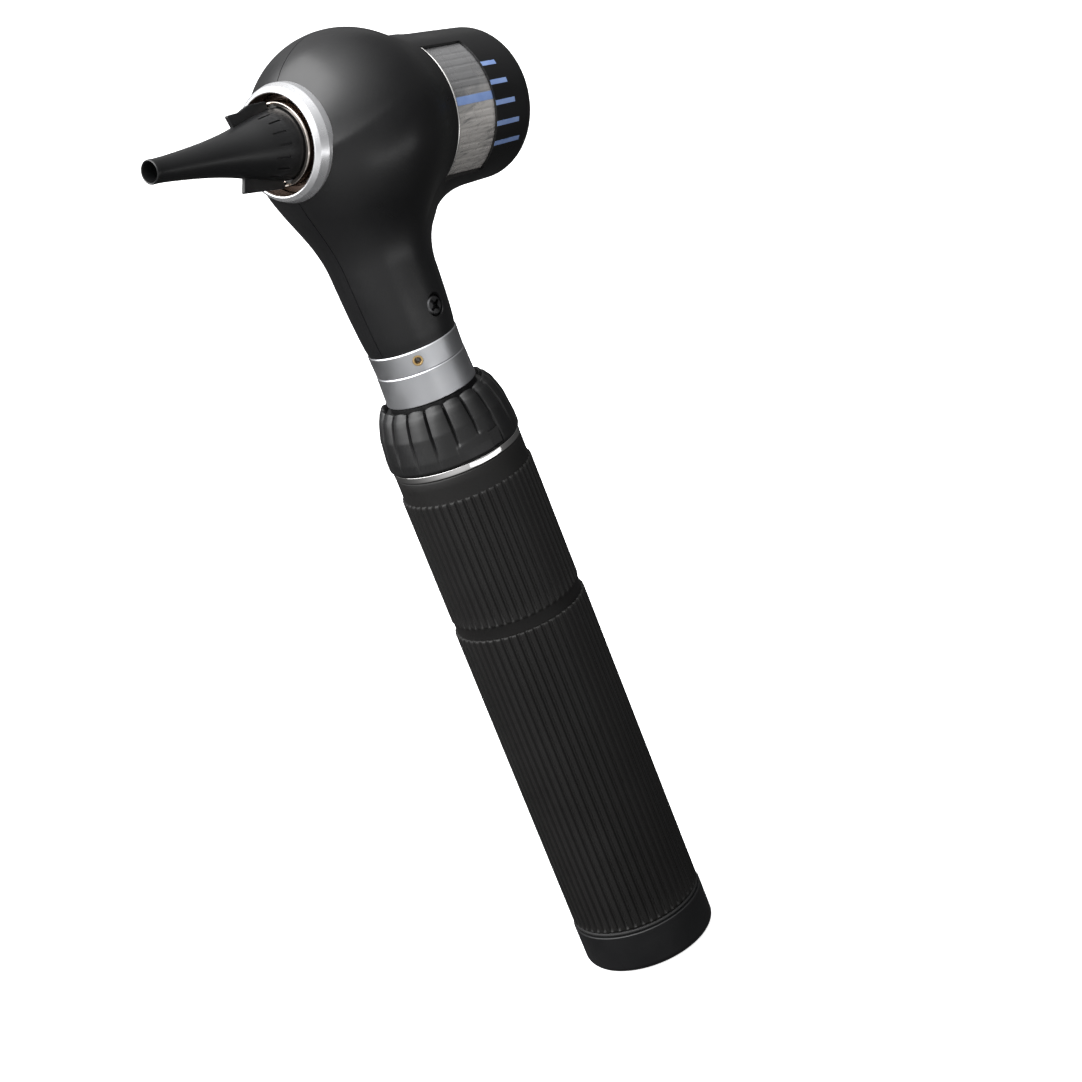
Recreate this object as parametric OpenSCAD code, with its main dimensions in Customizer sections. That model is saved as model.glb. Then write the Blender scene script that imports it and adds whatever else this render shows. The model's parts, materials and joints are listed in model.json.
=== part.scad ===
// Wide-view otoscope: optical head with focus wheel on a two-cell battery handle.
// Millimetres. +Z runs up the handle, the origin is the centre of the end cap's flat bottom,
// the ear speculum points towards -X and the head is split on the XZ plane.

/* [Handle] */
// Diameter over the ribs of the lower grip
grip_d = 29; // [28.8:0.2:31]
// Number of ribs around the grips
rib_count = 50; // [36:2:60]
// Length of the lower grip sleeve
lower_grip_l = 73; // [71:0.5:75]
// Depth of the grip ribs
rib_depth = 0.4; // [0.2:0.05:0.45]
// Height of the end cap
cap_h = 9.3; // [8.5:0.1:9.3]

/* [Rheostat collar] */
// Number of flutes around the collar
flute_count = 18; // [12:1:24]
// Depth of the flutes
flute_depth = 0.4; // [0.2:0.05:0.6]

/* [Head] */
// Height of the optical axis above the base, on the handle's axis
axis_h = 191; // [190:0.5:193]
// Upward tilt of the optical axis at the speculum end
head_tilt = 13.5; // [12:0.5:15]
// Diameter of the ball-shaped part of the head
ball_d = 40.1; // [39.6:0.1:40.6]
// Number of scale marks behind the focus wheel
mark_count = 5; // [3:1:6]
// Angle between neighbouring scale marks
mark_step = 15; // [10:1:15]
// Number of teeth of the focus wheel's knurl
knurl_count = 60; // [48:2:120]

/* [Speculum] */
// Outer diameter of the speculum's tip
tip_d = 4.7; // [3.6:0.1:5.4]
// Distance from the head's optical centre to the speculum's tip
tip_s = 48.2; // [44:0.2:52]

/* [Hidden] */
$fn = 72;
overlap = 0.01;

// heights up the handle
lower_grip_z = 10.5;
upper_grip_z = lower_grip_z + lower_grip_l;
upper_ribs_z = upper_grip_z + 3;
upper_ribs_top = 114.9;
post_z = 119.2;
grip_top = 120.1;
collar_z = 121.75;
collar_top = 134.8;
skirt_z = 134.9;
neck_z = 141.5;
set_screw_z = 144;
head_z = 146.2;
head_screw_z = 152.7;
cell_z = 16.1;
cell_pitch = 50;

// radii and angles about the handle's axis
tube_r = 13.35;
tube_bore_r = 13.0;
lower_grip_r = grip_d/2;
upper_grip_r = lower_grip_r - 0.3;
post_r = 7.4;
insulator_r = 4.5;
skirt_bore_r = 6.05;
socket_r = 6;
set_screw_a = -137.3;
lock_a = -97.5;

// stations (_s) along the optical axis, measured forward from the handle's axis
ball_s = -5.4;
port_s = -2;
tube_back_s = -12;
pin_s = -26.5;
wheel_back_s = -33;
guide_back_s = -41.5;

// radii about the optical axis
holder_bore_r = 4.4;
objective_r = 6.2;
focus_lens_r = 7.6;
eyepiece_r = 9.3;
guide_r = 10.2;
wheel_bore_r = 12.9;
tip_r = tip_d/2;

// angles on the head are measured from straight up towards the user's left side
index_a = 87;
marks_a = 93.5;
// lens travel in mm per radian of wheel
cam_lead = 2.8;

// fibre bundle: up the handle's axis, then bent to run forward below the optical axis
bundle_drop = 8.8;
bend_r = 6;
bend_a = 90 - head_tilt;
bend_end_x = -bend_r*(1 - cos(bend_a));
bend_end_z = axis_h - (bundle_drop + bend_end_x*sin(head_tilt))/cos(head_tilt);
bend_z = bend_end_z - bend_r*sin(bend_a);

// colours shared by several nodes
shell_black = [0.1, 0.1, 0.11];
grip_black = [0.1, 0.1, 0.1];
tube_black = [0.15, 0.15, 0.16];
steel = [0.7, 0.71, 0.73];
brass = [0.8, 0.62, 0.3];
insulating = [0.85, 0.83, 0.78];
cell_grey = [0.55, 0.56, 0.58];
mark_blue = [0.5, 0.62, 0.85];
lens_clear = [0.8, 0.88, 0.95, 0.4];

// ---------- helpers ----------
module rod(radius, z, length) translate([0, 0, z]) cylinder(r = radius, h = length);
module cone(bottom_r, top_r, z, length)
  translate([0, 0, z]) cylinder(r1 = bottom_r, r2 = top_r, h = length);
module tube(outer, inner, bottom, top) translate([0, 0, bottom]) difference() {
  cylinder(r = outer, h = top - bottom);
  rod(inner, -1, top - bottom + 2);
}
// solid of revolution; the rows of its outline are [radius, z]
module lathe(outline) rotate_extrude() polygon(outline);
// round ring about Z
module o_ring(radius, wire, z)
  translate([0, 0, z]) rotate_extrude() translate([radius, 0]) circle(r = wire, $fn = 32);
// turns a child's +Z to +X at height z
module radial(z) translate([0, 0, z]) rotate([0, 90, 0]) children();
// optical frame: local +Z forward along the optical axis, +X up, -Y the user's left
module optic() translate([0, 0, axis_h]) rotate([0, head_tilt - 90, 0]) children();
module port_axis() optic() translate([0, 0, port_s]) rotate([-90, 0, 0]) children();
module screw_axes() for (side = [1, -1])
  translate([0, 0, head_screw_z]) rotate([side*90, 0, 0]) children();
// ring sector, its middle turned by angle from +X towards -Y
module sector(inner, outer, bottom, top, angle, width)
  rotate(-angle - width/2) rotate_extrude(angle = width)
    translate([inner, bottom]) square([outer - inner, top - bottom]);
function arc(centre_x, centre_y, radius, from, to, steps) = [for (i = [0:steps])
  let (a = from + (to - from)*i/steps) [centre_x + radius*cos(a), centre_y + radius*sin(a)]];

// ribbed disc outline; land is the share of the pitch at full radius
module ribbed(radius, depth, count, land = 0.45) {
  // [share of the pitch, radius]
  rib = [[0, radius], [land, radius], [land + 0.14, radius - depth], [0.86, radius - depth]];
  polygon([for (i = [0:count - 1]) for (corner = rib)
    let (a = (i + corner[0])*360/count) corner[1]*[cos(a), sin(a)]]);
}

// sum of a list's first count values
function sum_first(list, count) = count == 0 ? 0 : list[count - 1] + sum_first(list, count - 1);
// round-wire coil spring with closed ends: half turns tilted to and fro, every second one
// a touch thinner and longer so that it enters its neighbours; wire is the wire's radius
module coil(radius, wire, bottom, top, turns) {
  halves = 2*turns;
  end_rise = 1.08*wire;
  middle_rise = (top - bottom - 2*wire - 4*end_rise)/(halves - 4);
  rises = [for (i = [0:halves - 1]) (i < 2 || i >= halves - 2) ? end_rise : middle_rise];
  for (i = [0:halves - 1]) {
    even = i % 2 == 0;
    tilt = atan(rises[i]/2/radius);
    translate([0, 0, bottom + wire + sum_first(rises, i) + rises[i]/2])
      rotate([0, even ? tilt : -tilt, 0]) rotate(even ? 0 : 180) rotate(even ? 0 : -0.8)
        rotate_extrude(angle = even ? 180 : 181.6, $fn = 48)
          translate([radius/cos(tilt), 0]) circle(r = even ? wire : 0.96*wire, $fn = 24);
  }
}

// lens between two equal spherical faces; facets is the $fn of the faces
module biconvex(centre, radius, face_r, thickness, facets) intersection() {
  rod(radius, centre - 2, 4, $fn = 144);
  for_back_face = centre + face_r - thickness/2;
  translate([0, 0, centre - face_r + thickness/2]) sphere(r = face_r, $fn = facets);
  translate([0, 0, for_back_face]) sphere(r = face_r, $fn = facets);
}

// ---------- head shells ----------
module barrel_outer() lathe(concat(
  [[0, 4], [16.9, 4], [16.9, -14], [16.45, -22], [16.15, -33]],
  arc(12.2, -42.4, 3.55, 0, -84, 8), [[11, -46], [0, -46]]));

module neck_outer() lathe([
  [0, head_z], [9.52, head_z], [9.75, 148], [9.95, 150.5], [10.15, 154], [10.35, 158],
  [10.55, 162], [10.85, 166], [11.05, 170], [11.4, 173], [11.8, 175], [12.4, 177],
  [13.2, 179], [14.2, 181], [14.7, 183], [14.2, 185.2], [0, 186]]);

// flare from the neck back under the barrel
module rear_flare() {
  // [half width, z], upwards
  side = [[9.6, 150], [10.6, 158], [10.9, 164], [11.3, 168], [12.6, 174], [12.6, 176]];
  count = len(side);
  mirrored = [for (i = [1:count]) [-side[count - i][0], side[count - i][1]]];
  intersection() {
    lathe(concat([[0, 150], [9.7, 150]], arc(19.1, 160, 8.8, 180, 98, 9),
      [[17.9, 176], [0, 176]]));
    rotate([90, 0, 90]) linear_extrude(height = 26) polygon(concat(side, mirrored));
  }
}

module head_outer() {
  optic() {
    translate([0, 0, ball_s]) sphere(r = ball_d/2, $fn = 96);
    barrel_outer();
    cylinder(r = 11.7, h = 10.5);
  }
  neck_outer();
  rear_flare();
}

// openings on both sides that bare the focus wheel
module wheel_windows() for (side = [1, -1]) sector(13.5, 19.5, -32.6, -20.4, side*92.5, 109);

// each mark reaches further back than the one before
module mark_zone() for (i = [0:mark_count - 1])
  sector(15.55, 17, -36.9 - 0.93*i, -32.7, marks_a + (i - (mark_count - 1)/2)*mark_step, 3.4);

module head_solid() difference() {
  head_outer();
  optic() {
    translate([0, 0, ball_s]) sphere(r = 17.8, $fn = 96);
    // barrel bore and eyepiece opening
    rod(13, -43.5, 40);
    rod(11, -47, 10);
    // room for the wheel and its front rim
    rod(15.6, -33.1, 12.6);
    rod(15.95, -21.4, 0.9);
    // front opening
    rod(9.95, 5, 10);
    rod(13, 10.5, 8);
    wheel_windows();
    mark_zone();
  }
  rod(8.25, head_z - 1, 30);
  screw_axes() {
    rod(1.3, 7, 5);
    rod(2.3, 9, 5);
  }
  port_axis() cylinder(r = 2.6, h = 30);
}

// side is -1 for the user's left (-Y) and 1 for the right
module half(side) intersection() {
  head_solid();
  translate([-60, side < 0 ? -60 : 0, 130]) cube([120, 60, 100]);
}
module head_shell_left() color(shell_black) half(-1);
module head_shell_right() color(shell_black) half(1);

// cross-slotted screws
module head_screws() color([0.16, 0.16, 0.17]) screw_axes() difference() {
  union() {
    rod(1.25, 6.4, 3);
    rod(2.1, 9, 0.45);
    cone(2.1, 1.55, 9.45, 0.35);
  }
  for (a = [30, 120]) rotate(a) translate([-1.35, -0.3, 9.2]) cube([2.7, 0.6, 2]);
}

module scale_marks() color(mark_blue) optic() intersection() {
  barrel_outer($fn = 240);
  mark_zone($fn = 240);
}

// ---------- speculum end ----------
module bezel_ring() color([0.82, 0.83, 0.85]) optic() lathe([
  [9.95, 10.5], [11.45, 10.5], [11.68, 10.9], [11.7, 12.6], [11.5, 13.5], [11.1, 14.2],
  [10.5, 14.75], [10.2, 14.85], [9.95, 14.7]]);

module speculum_holder() color([0.75, 0.73, 0.7]) optic() lathe([
  [holder_bore_r, 7.6], [9.9, 7.6], [9.9, 9.3], [6.45, 9.3], [6.35, 12], [5.9, 16],
  [5.45, 18.5], [4.98, 20.6], [4.8, 21], [holder_bore_r, 21]]);

module speculum_lock_ring() color([0.8, 0.78, 0.76]) optic() difference() {
  lathe([[7.42, 9.4], [9.86, 9.4], [9.86, 11], [8.25, 11], [8.2, 14.1], [7.95, 14.5],
    [7.6, 14.5], [7.42, 14.3]]);
  for (a = [0, 180]) rotate(a) translate([6.9, -1.3, 11.4]) cube([1.05, 2.6, 6]);
}

// rounded tip, outside back to the base, then inside forward again
module speculum_body() lathe([
  [tip_r - 0.45, tip_s - 0.15], [tip_r - 0.2, tip_s], [tip_r - 0.02, tip_s - 0.15],
  [tip_r + 0.02, tip_s - 0.6], [tip_r - 0.02, tip_s - 1.4],
  [2.72, 41], [3.05, 37], [3.5, 33.5], [4.05, 29.5], [4.55, 26.8], [5.05, 24.6],
  [5.55, 22.6], [6.05, 20.5], [6.4, 18.6], [6.7, 16.7], [6.85, 15.4], [7.3, 15.2], [7.3, 12],
  [6.55, 12], [6.5, 14.4], [6.2, 16.2], [5.75, 18.2], [5.15, 20.5], [4.55, 22.8],
  [3.95, 25.6], [3.35, 29.4], [2.8, 33.4], [2.4, 36.9], [2.1, 41]]);

module finger_fin() {
  thickness = 0.9;
  // [radius, station]
  outline = [[4.4, 25.2], [7.1, 26.2], [7.4, 26], [7.75, 22.8], [8.35, 20.2], [8.45, 15.8],
    [8.2, 15.3], [6.8, 15.3]];
  rotate([90, 0, 0]) translate([0, 0, -thickness/2])
    linear_extrude(height = thickness) polygon(outline);
}

module speculum() color([0.09, 0.09, 0.1]) optic() difference() {
  union() {
    speculum_body();
    for (a = [0, 180]) rotate(a) {
      finger_fin();
      // locking lug
      translate([7.1, -1.1, 12]) cube([0.75, 2.2, 1.6]);
    }
  }
  // five grip slits on each side
  for (middle = [84, 276], i = [-2:2]) rotate(middle + 22*i)
    translate([6.35, -0.13, 17.4]) rotate([0, -9.9, 0]) cube([1.5, 0.26, 3.2]);
}

module front_window() color([0.75, 0.85, 0.9, 0.45]) optic() rod(holder_bore_r, 17.6, 1.2);

module fibre_ring() color([0.92, 0.9, 0.78]) optic() difference() {
  tube(holder_bore_r, 3.7, 18.9, 20.7);
  // fibre ends
  for (a = [0:20:340]) rotate(a) translate([4.05, 0, 20.5]) cylinder(r = 0.2, h = 1);
}

// ---------- lighting ----------
module fibre_bundle() color([0.25, 0.25, 0.27]) {
  bottom = 163.2;
  straight_r = 1.32;
  // the straight runs reach this far into the bend
  reach = 0.3;
  rod(straight_r, bottom, bend_z - bottom + reach, $fn = 48);
  translate([-bend_r, 0, bend_z]) rotate([90, 0, 0]) rotate_extrude(angle = bend_a)
    translate([bend_r, 0]) circle(r = 1.4, $fn = 48);
  translate([bend_end_x, 0, bend_end_z]) rotate([0, -bend_a, 0])
    rod(straight_r, -reach, 4.9, $fn = 48);
}

module lamp_bulb() color([0.95, 0.93, 0.8, 0.5]) {
  bulb_r = 3.1;
  rod(bulb_r, 155, 4.2);
  translate([0, 0, 159.2]) sphere(r = bulb_r, $fn = 48);
}

module lamp_base() color([0.72, 0.72, 0.7]) {
  rod(1.5, 144.05, 0.95);
  rod(4.6, 145, 10);
  tube(4.6, 3.4, 144.2, 145);
}

module lamp_socket() color([0.6, 0.5, 0.32]) difference() {
  tube(socket_r, 4.65, 142.5, 158);
  for (a = [45, 165, 285]) rotate(a) translate([4, -0.5, 149]) cube([3, 1, 10]);
}

// ---------- viewing optics ----------
module optical_tube() color(tube_black) optic() {
  tube_outer_r = 7.2;
  tube(tube_outer_r, objective_r, tube_back_s, 7.6);
  tube(guide_r, tube_outer_r - overlap, tube_back_s, tube_back_s + 1.6);
}

module objective_lens() color(lens_clear) optic() biconvex(3.5, objective_r, 20.2, 3.2, 180);

// carries the wheel between two flanges; a slot along its top guides the pin
module guide_tube() color(tube_black) optic() {
  slot_r = 0.9;
  slot_back = -2.2;
  slot_front = 1.8;
  difference() {
    union() {
      tube(guide_r, 9, guide_back_s, tube_back_s - overlap);
      for (s = [guide_back_s, -15.5]) tube(12.95, 10.1, s, s + 2);
    }
    for (s = [slot_back, slot_front]) radial(pin_s + s) cylinder(r = slot_r, h = 20, $fn = 32);
    translate([0, -slot_r, pin_s + slot_back]) cube([20, 2*slot_r, slot_front - slot_back]);
  }
}

module lens_cell() color([0.3, 0.3, 0.32]) optic() difference() {
  tube(8.94, focus_lens_r, pin_s - 3, pin_s + 3);
  radial(pin_s) cylinder(r = 0.8, h = 20);
}

module follower_pin() color([0.78, 0.78, 0.76]) optic() radial(pin_s) rod(0.8, 7.9, 4.7);

module focus_lens() color(lens_clear) optic() biconvex(pin_s, focus_lens_r, 25, 3.2, 180);

// sleeve with a helical slot cut as a row of holes
module focus_cam() color([0.35, 0.36, 0.38]) optic() difference() {
  tube(wheel_bore_r, 10.28, wheel_back_s, -21.7);
  for (a = [-40:4.4:28.2]) rotate(-a)
    radial(pin_s + cam_lead*a*PI/180) cylinder(r = 1.1, h = 20, $fn = 32);
}

// sector at the index mark
module index_sector(outer, bottom, top) sector(15.1, outer, bottom, top, index_a, 6.4);

module focus_wheel() color([0.78, 0.79, 0.81]) optic() difference() {
  union() {
    translate([0, 0, -32.6]) linear_extrude(height = 11.4) ribbed(15.5, 0.18, knurl_count, 0.6);
    tube(15.3, wheel_bore_r, wheel_back_s, -32.5);
    tube(15.9, wheel_bore_r, -21.3, -20.6);
  }
  rod(wheel_bore_r, -34, 14);
  index_sector(16, -34, -21.35);
}
module wheel_index() color(mark_blue) optic() index_sector(15.52, wheel_back_s, -21.4);

module eyepiece_ring() color([0.07, 0.07, 0.08]) optic() lathe([
  [eyepiece_r, -43.5], [10.95, -43.5], [10.95, -46.2], [10.7, -46.8], [10.2, -47],
  [9.7, -46.8], [9.5, -46], [eyepiece_r, -45.6]]);
module eyepiece_lens() color(lens_clear) optic() biconvex(-44.6, eyepiece_r, 45, 2.8, 240);

module insufflation_port() color(steel) port_axis() difference() {
  union() {
    rod(2.6, 16.6, 3.6);
    rod(2.5, 20.1, 1.2);
    rod(2, 21.2, 4.3);
    cone(2, 1.6, 25.5, 0.8);
  }
  rod(1, 16, 11);
}
module port_seal() color([0.06, 0.06, 0.06]) port_axis() o_ring(3.02, 0.5, 20.72);

// ---------- head mount ----------
module neck_ring() color([0.8, 0.81, 0.83]) difference() {
  union() {
    lathe([[socket_r, neck_z], [9.1, neck_z], [9.32, neck_z + 0.25], [9.4, neck_z + 3.4],
      [9.55, head_z - 0.9], [9.55, head_z - 0.25], [9.35, head_z], [socket_r, head_z]]);
    tube(8.2, socket_r, head_z - overlap, 157.5);
  }
  rod(socket_r, neck_z - 1, 20);
  rotate(set_screw_a) radial(set_screw_z) rod(0.95, 5, 6);
  screw_axes() rod(1.25, 5, 5);
}

module ring_set_screw() color([0.72, 0.52, 0.2])
  rotate(set_screw_a) radial(set_screw_z) difference() {
    rod(0.94, 6.1, 3.1);
    rod(0.55, 8, 3, $fn = 6);
  }

module bayonet_skirt() color([0.76, 0.77, 0.79]) {
  difference() {
    lathe([[8.6, skirt_z], [9.55, skirt_z], [9.78, skirt_z + 0.3], [9.6, skirt_z + 2.4],
      [9.3, skirt_z + 4.6], [9.18, neck_z - 0.3], [9.05, neck_z], [skirt_bore_r, neck_z],
      [skirt_bore_r, 140.2], [8.6, 140.2]]);
    rod(skirt_bore_r, 130, 20);
  }
  for (a = [60, 180, 300]) sector(7.5, 8.7, 135.6, 137.6, a, 36);
}
module bayonet_washer() color([0.7, 0.6, 0.4]) tube(8.4, 7.5, 134.85, 135.4);

// ---------- handle top ----------
module handle_post() color([0.78, 0.78, 0.8]) {
  post_top = 139.2;
  difference() {
    union() {
      rod(12.85, post_z, 2.4);
      rod(post_r, 121, post_top - 121);
      cone(post_r, post_r - 0.3, post_top, 0.3);
    }
    rod(insulator_r, 118, 30);
  }
  // bayonet lugs
  for (a = [0, 120, 240]) sector(post_r - 0.1, 8.4, 138, 139.3, a, 36);
}

module post_insulator() color(insulating) difference() {
  rod(insulator_r, post_z, 20);
  rod(3.4, 121.4, 15);
  rod(1.82, 120, 30);
}

module contact_pin() color(brass) {
  pin_r = 1.75;
  rod(pin_r, 131, 12.4);
  cone(pin_r, 1.2, 143.4, 0.55);
  rod(3.2, 134.2, 1.2);
}
module contact_spring() color(steel) coil(2.4, 0.35, 121.5, 134.1, 5);

// upright flute with a leaning one above it
module flute_cutter() {
  cutter_r = 1.35;
  translate([15.5 - flute_depth, 0, 121]) rotate([0, -1.5, 0]) cylinder(r = cutter_r, h = 9);
  translate([15.22 - flute_depth, 0, 128.6]) rotate([0, -18, 0]) cylinder(r = cutter_r, h = 9);
}

module rheostat_collar() color([0.1, 0.1, 0.105]) difference() {
  union() {
    difference() {
      lathe([[7.5, 131], [12.3, 131], [12.3, collar_z], [13.75, collar_z], [14.0, 122.3],
        [14.15, 124.2], [14.05, 126.4], [13.72, 128.8], [13.15, 131], [12.35, 133],
        [11.7, 134.1], [11.2, 134.6], [10.6, collar_top], [7.5, collar_top]]);
      for (i = [0:flute_count - 1]) rotate(i*360/flute_count + 4) flute_cutter();
    }
    // raised locking pad, then the inner hub
    rotate(-134) rotate_extrude(angle = 41) polygon([[12.6, collar_z], [14.1, collar_z],
      [14.4, 122.2], [14.45, 125.2], [14.2, 126.3], [12.6, 126.9]]);
    tube(8.2, 7.5, 122.6, 132);
  }
  rotate(lock_a) translate([11, -1.55, 122.15]) cube([5, 3.1, 3.6]);
}

module rheostat_track() color([0.3, 0.2, 0.12]) difference() {
  tube(9.7, 8.35, 121.6, 122.3);
  rotate(200) translate([8, -1, 121]) cube([3, 2, 3]);
}

module rheostat_wiper() color(brass) rotate(20) {
  sector(8.5, 9.5, 122.35, 122.75, 0, 24);
  translate([8.6, -0.8, 122.7]) cube([0.8, 1.6, 8.3]);
}

module lock_button() color([0.12, 0.12, 0.13]) rotate(lock_a) {
  translate([11.6, -1.45, 122.25]) cube([2.25, 2.9, 3.4]);
  translate([10.7, -1.9, 121.95]) cube([1, 3.8, 4]);
}

// V-shaped leaf; outline rows are [outward, sideways]
module lock_spring() color(steel) rotate(lock_a) translate([8.3, 0, 122.7])
  linear_extrude(height = 2.4) polygon([[0, -1.5], [0.25, -1.5], [1.5, -0.2], [1.5, 0.2],
    [0.25, 1.5], [0, 1.5], [0, 1.2], [1.15, 0], [0, -1.2]]);

// ---------- handle body ----------
module chrome_ring() color([0.86, 0.86, 0.88]) {
  ring_top = grip_top + 1.55;
  lathe([[12.88, grip_top], [13.6, grip_top], [13.76, grip_top + 0.2],
    [13.76, ring_top - 0.2], [13.6, ring_top], [12.88, ring_top]]);
}

module grip_upper() color(grip_black) {
  plain_r = upper_grip_r - 0.45;
  difference() {
    union() {
      rod(upper_grip_r - 0.2, upper_grip_z + 0.05, 3);
      translate([0, 0, upper_ribs_z]) linear_extrude(height = upper_ribs_top - upper_ribs_z - 0.6)
        ribbed(upper_grip_r, rib_depth, rib_count);
      cone(upper_grip_r - rib_depth, plain_r, upper_ribs_top - 0.8, 0.8);
      rod(plain_r, upper_ribs_top - overlap, grip_top - upper_ribs_top - 0.3);
      cone(plain_r, plain_r - 0.2, grip_top - 0.35, 0.35 - overlap);
    }
    rod(tube_r, lower_grip_z, 120, $fn = 180);
  }
}

module grip_lower() color(grip_black) {
  groove_r = lower_grip_r - rib_depth;
  band_r = lower_grip_r + 0.06;
  difference() {
    union() {
      cone(groove_r - 0.3, groove_r, lower_grip_z, 0.5);
      translate([0, 0, lower_grip_z + 0.4]) linear_extrude(height = lower_grip_l - 1.3)
        ribbed(lower_grip_r, rib_depth, rib_count);
      rod(band_r, upper_grip_z - 1.2, 0.9 + overlap);
      cone(band_r, lower_grip_r - 0.2, upper_grip_z - 0.3, 0.3);
    }
    rod(tube_r, lower_grip_z - 1, 120, $fn = 180);
  }
}

module battery_tube() color([0.62, 0.6, 0.52]) tube(tube_r, tube_bore_r, 9.5, 119.1);

module contact_carrier() color(insulating) difference() {
  rod(12.9, 116.7, 2.45);
  rod(3, 110, 20);
}
module top_contact() color(brass) {
  rod(6.5, 116.1, 0.58);
  rod(2.9, 116.6, 2.5);
}

module cell(z) {
  cell_r = 12.8;
  cone(12.3, cell_r, z, 0.8);
  rod(cell_r, z + 0.8 - overlap, 46.2);
  cone(cell_r, 12.2, z + 47 - 2*overlap, 0.9);
  rod(9.5, z + 47.9 - 3*overlap, 0.4);
  rod(3.3, z + 48.2, 1.75);
}
module cell_upper() color(cell_grey) cell(cell_z + cell_pitch);
module cell_lower() color(cell_grey) cell(cell_z);

module spring_plate() color(brass) rod(9.4, 15.5, 0.55);
module battery_spring() color(steel) coil(8.2, 0.6, 2.25, 15.45, 5);

module end_cap() color([0.09, 0.09, 0.095]) lathe(concat([[0, 0]], arc(12.7, 2, 2, -90, 0, 6),
  [[14.7, cap_h - 0.5], [14.2, cap_h], [12.93, cap_h], [12.93, 14.9], [12.6, 15.2],
  [11.4, 15.2], [11.4, 2.2], [0, 2.2]]));
module cap_seal() color([0.04, 0.04, 0.04]) o_ring(13.9, 0.45, cap_h + 0.46);

head_shell_left();
head_shell_right();
head_screws();
bezel_ring();
speculum_holder();
speculum_lock_ring();
speculum();
front_window();
fibre_ring();
fibre_bundle();
lamp_bulb();
lamp_base();
lamp_socket();
optical_tube();
objective_lens();
guide_tube();
focus_wheel();
wheel_index();
focus_cam();
lens_cell();
focus_lens();
follower_pin();
eyepiece_ring();
eyepiece_lens();
scale_marks();
insufflation_port();
port_seal();
neck_ring();
bayonet_skirt();
ring_set_screw();
bayonet_washer();
handle_post();
post_insulator();
contact_pin();
contact_spring();
rheostat_collar();
rheostat_track();
rheostat_wiper();
lock_button();
lock_spring();
chrome_ring();
grip_upper();
grip_lower();
battery_tube();
contact_carrier();
top_contact();
cell_upper();
cell_lower();
spring_plate();
battery_spring();
end_cap();
cap_seal();
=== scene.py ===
"""An otoscope: a round handle standing upright on the floor, with a tilted head on top.

+Z is up and is the handle's axis, with the end cap at z = 0. The optical axis lies in the
XZ plane, crosses the handle's axis at AXIS_HEIGHT and points forward along -X, rising by
TILT. The left side is -Y. Shapes are in millimetres, and the scene is in metres.
"""
import json
import math
from contextlib import contextmanager

import bmesh
import bpy
import numpy as np
from mathutils import Matrix, Vector


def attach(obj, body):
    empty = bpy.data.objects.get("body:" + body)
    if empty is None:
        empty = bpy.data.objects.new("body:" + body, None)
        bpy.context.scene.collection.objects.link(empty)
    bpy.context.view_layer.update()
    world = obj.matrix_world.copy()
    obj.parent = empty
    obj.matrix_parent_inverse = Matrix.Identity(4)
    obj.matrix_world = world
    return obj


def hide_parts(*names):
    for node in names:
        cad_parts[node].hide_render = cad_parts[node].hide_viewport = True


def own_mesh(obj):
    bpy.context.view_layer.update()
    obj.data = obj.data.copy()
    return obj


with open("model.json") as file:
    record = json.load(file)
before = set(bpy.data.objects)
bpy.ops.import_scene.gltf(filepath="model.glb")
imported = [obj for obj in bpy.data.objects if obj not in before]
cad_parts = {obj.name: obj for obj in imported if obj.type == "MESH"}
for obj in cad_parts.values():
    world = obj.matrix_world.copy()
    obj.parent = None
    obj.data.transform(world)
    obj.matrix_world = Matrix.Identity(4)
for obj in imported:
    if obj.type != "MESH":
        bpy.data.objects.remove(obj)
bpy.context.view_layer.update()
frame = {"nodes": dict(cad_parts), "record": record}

MM = 0.001
TILT = math.radians(13.5)
AXIS_HEIGHT = 191.0

# Poses are 4 x 4 matrices. OPTIC's columns: local X (up), Y, Z (forward) and the origin.
HANDLE = np.eye(4)
OPTIC = np.array([[math.sin(TILT), 0, -math.cos(TILT), 0],
                  [0, 1, 0, 0],
                  [math.cos(TILT), 0, math.sin(TILT), AXIS_HEIGHT],
                  [0, 0, 0, 1]], float)


# ------------------------------------------------------------------ poses and outlines
def rotate(axis, degrees):
    """Rotation about the axis "x", "y" or "z"."""
    angle = math.radians(degrees)
    k = "xyz".index(axis)
    i, j = (k + 1) % 3, (k + 2) % 3
    pose = np.eye(4)
    pose[i, i] = pose[j, j] = math.cos(angle)
    pose[i, j], pose[j, i] = -math.sin(angle), math.sin(angle)
    return pose


def move(x, y, z):
    pose = np.eye(4)
    pose[:3, 3] = (x, y, z)
    return pose


def rectangle(x0, x1, y0, y1):
    return [(x0, y0), (x1, y0), (x1, y1), (x0, y1)]


def rounded(corners, steps):
    """Rounds a closed polygon given as rows of (x, y, corner radius)."""
    points = [np.array(row[:2], float) for row in corners]
    outline = []
    for i, corner in enumerate(points):
        radius = corners[i][2]
        back, ahead = points[i - 1] - corner, points[(i + 1) % len(points)] - corner
        back_length, ahead_length = np.linalg.norm(back), np.linalg.norm(ahead)
        back, ahead = back / back_length, ahead / ahead_length
        angle = math.acos(float(np.clip(back @ ahead, -1, 1)))
        if radius <= 0 or angle > math.pi - 0.02:       # a square or nearly straight corner
            outline.append(tuple(corner))
            continue
        # the arc takes less than half of either side
        reach = min(radius / math.tan(angle / 2), back_length * 0.48, ahead_length * 0.48)
        radius = reach * math.tan(angle / 2)
        middle = (back + ahead) / np.linalg.norm(back + ahead)
        centre = corner + middle * (radius / math.sin(angle / 2))
        start, end = corner + back * reach, corner + ahead * reach
        first, last = math.atan2(*(start - centre)[::-1]), math.atan2(*(end - centre)[::-1])
        sweep = (last - first + math.pi) % (2 * math.pi) - math.pi
        for k in range(steps + 1):
            a = first + sweep * k / steps
            outline.append((centre[0] + radius * math.cos(a), centre[1] + radius * math.sin(a)))
    return outline


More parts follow.
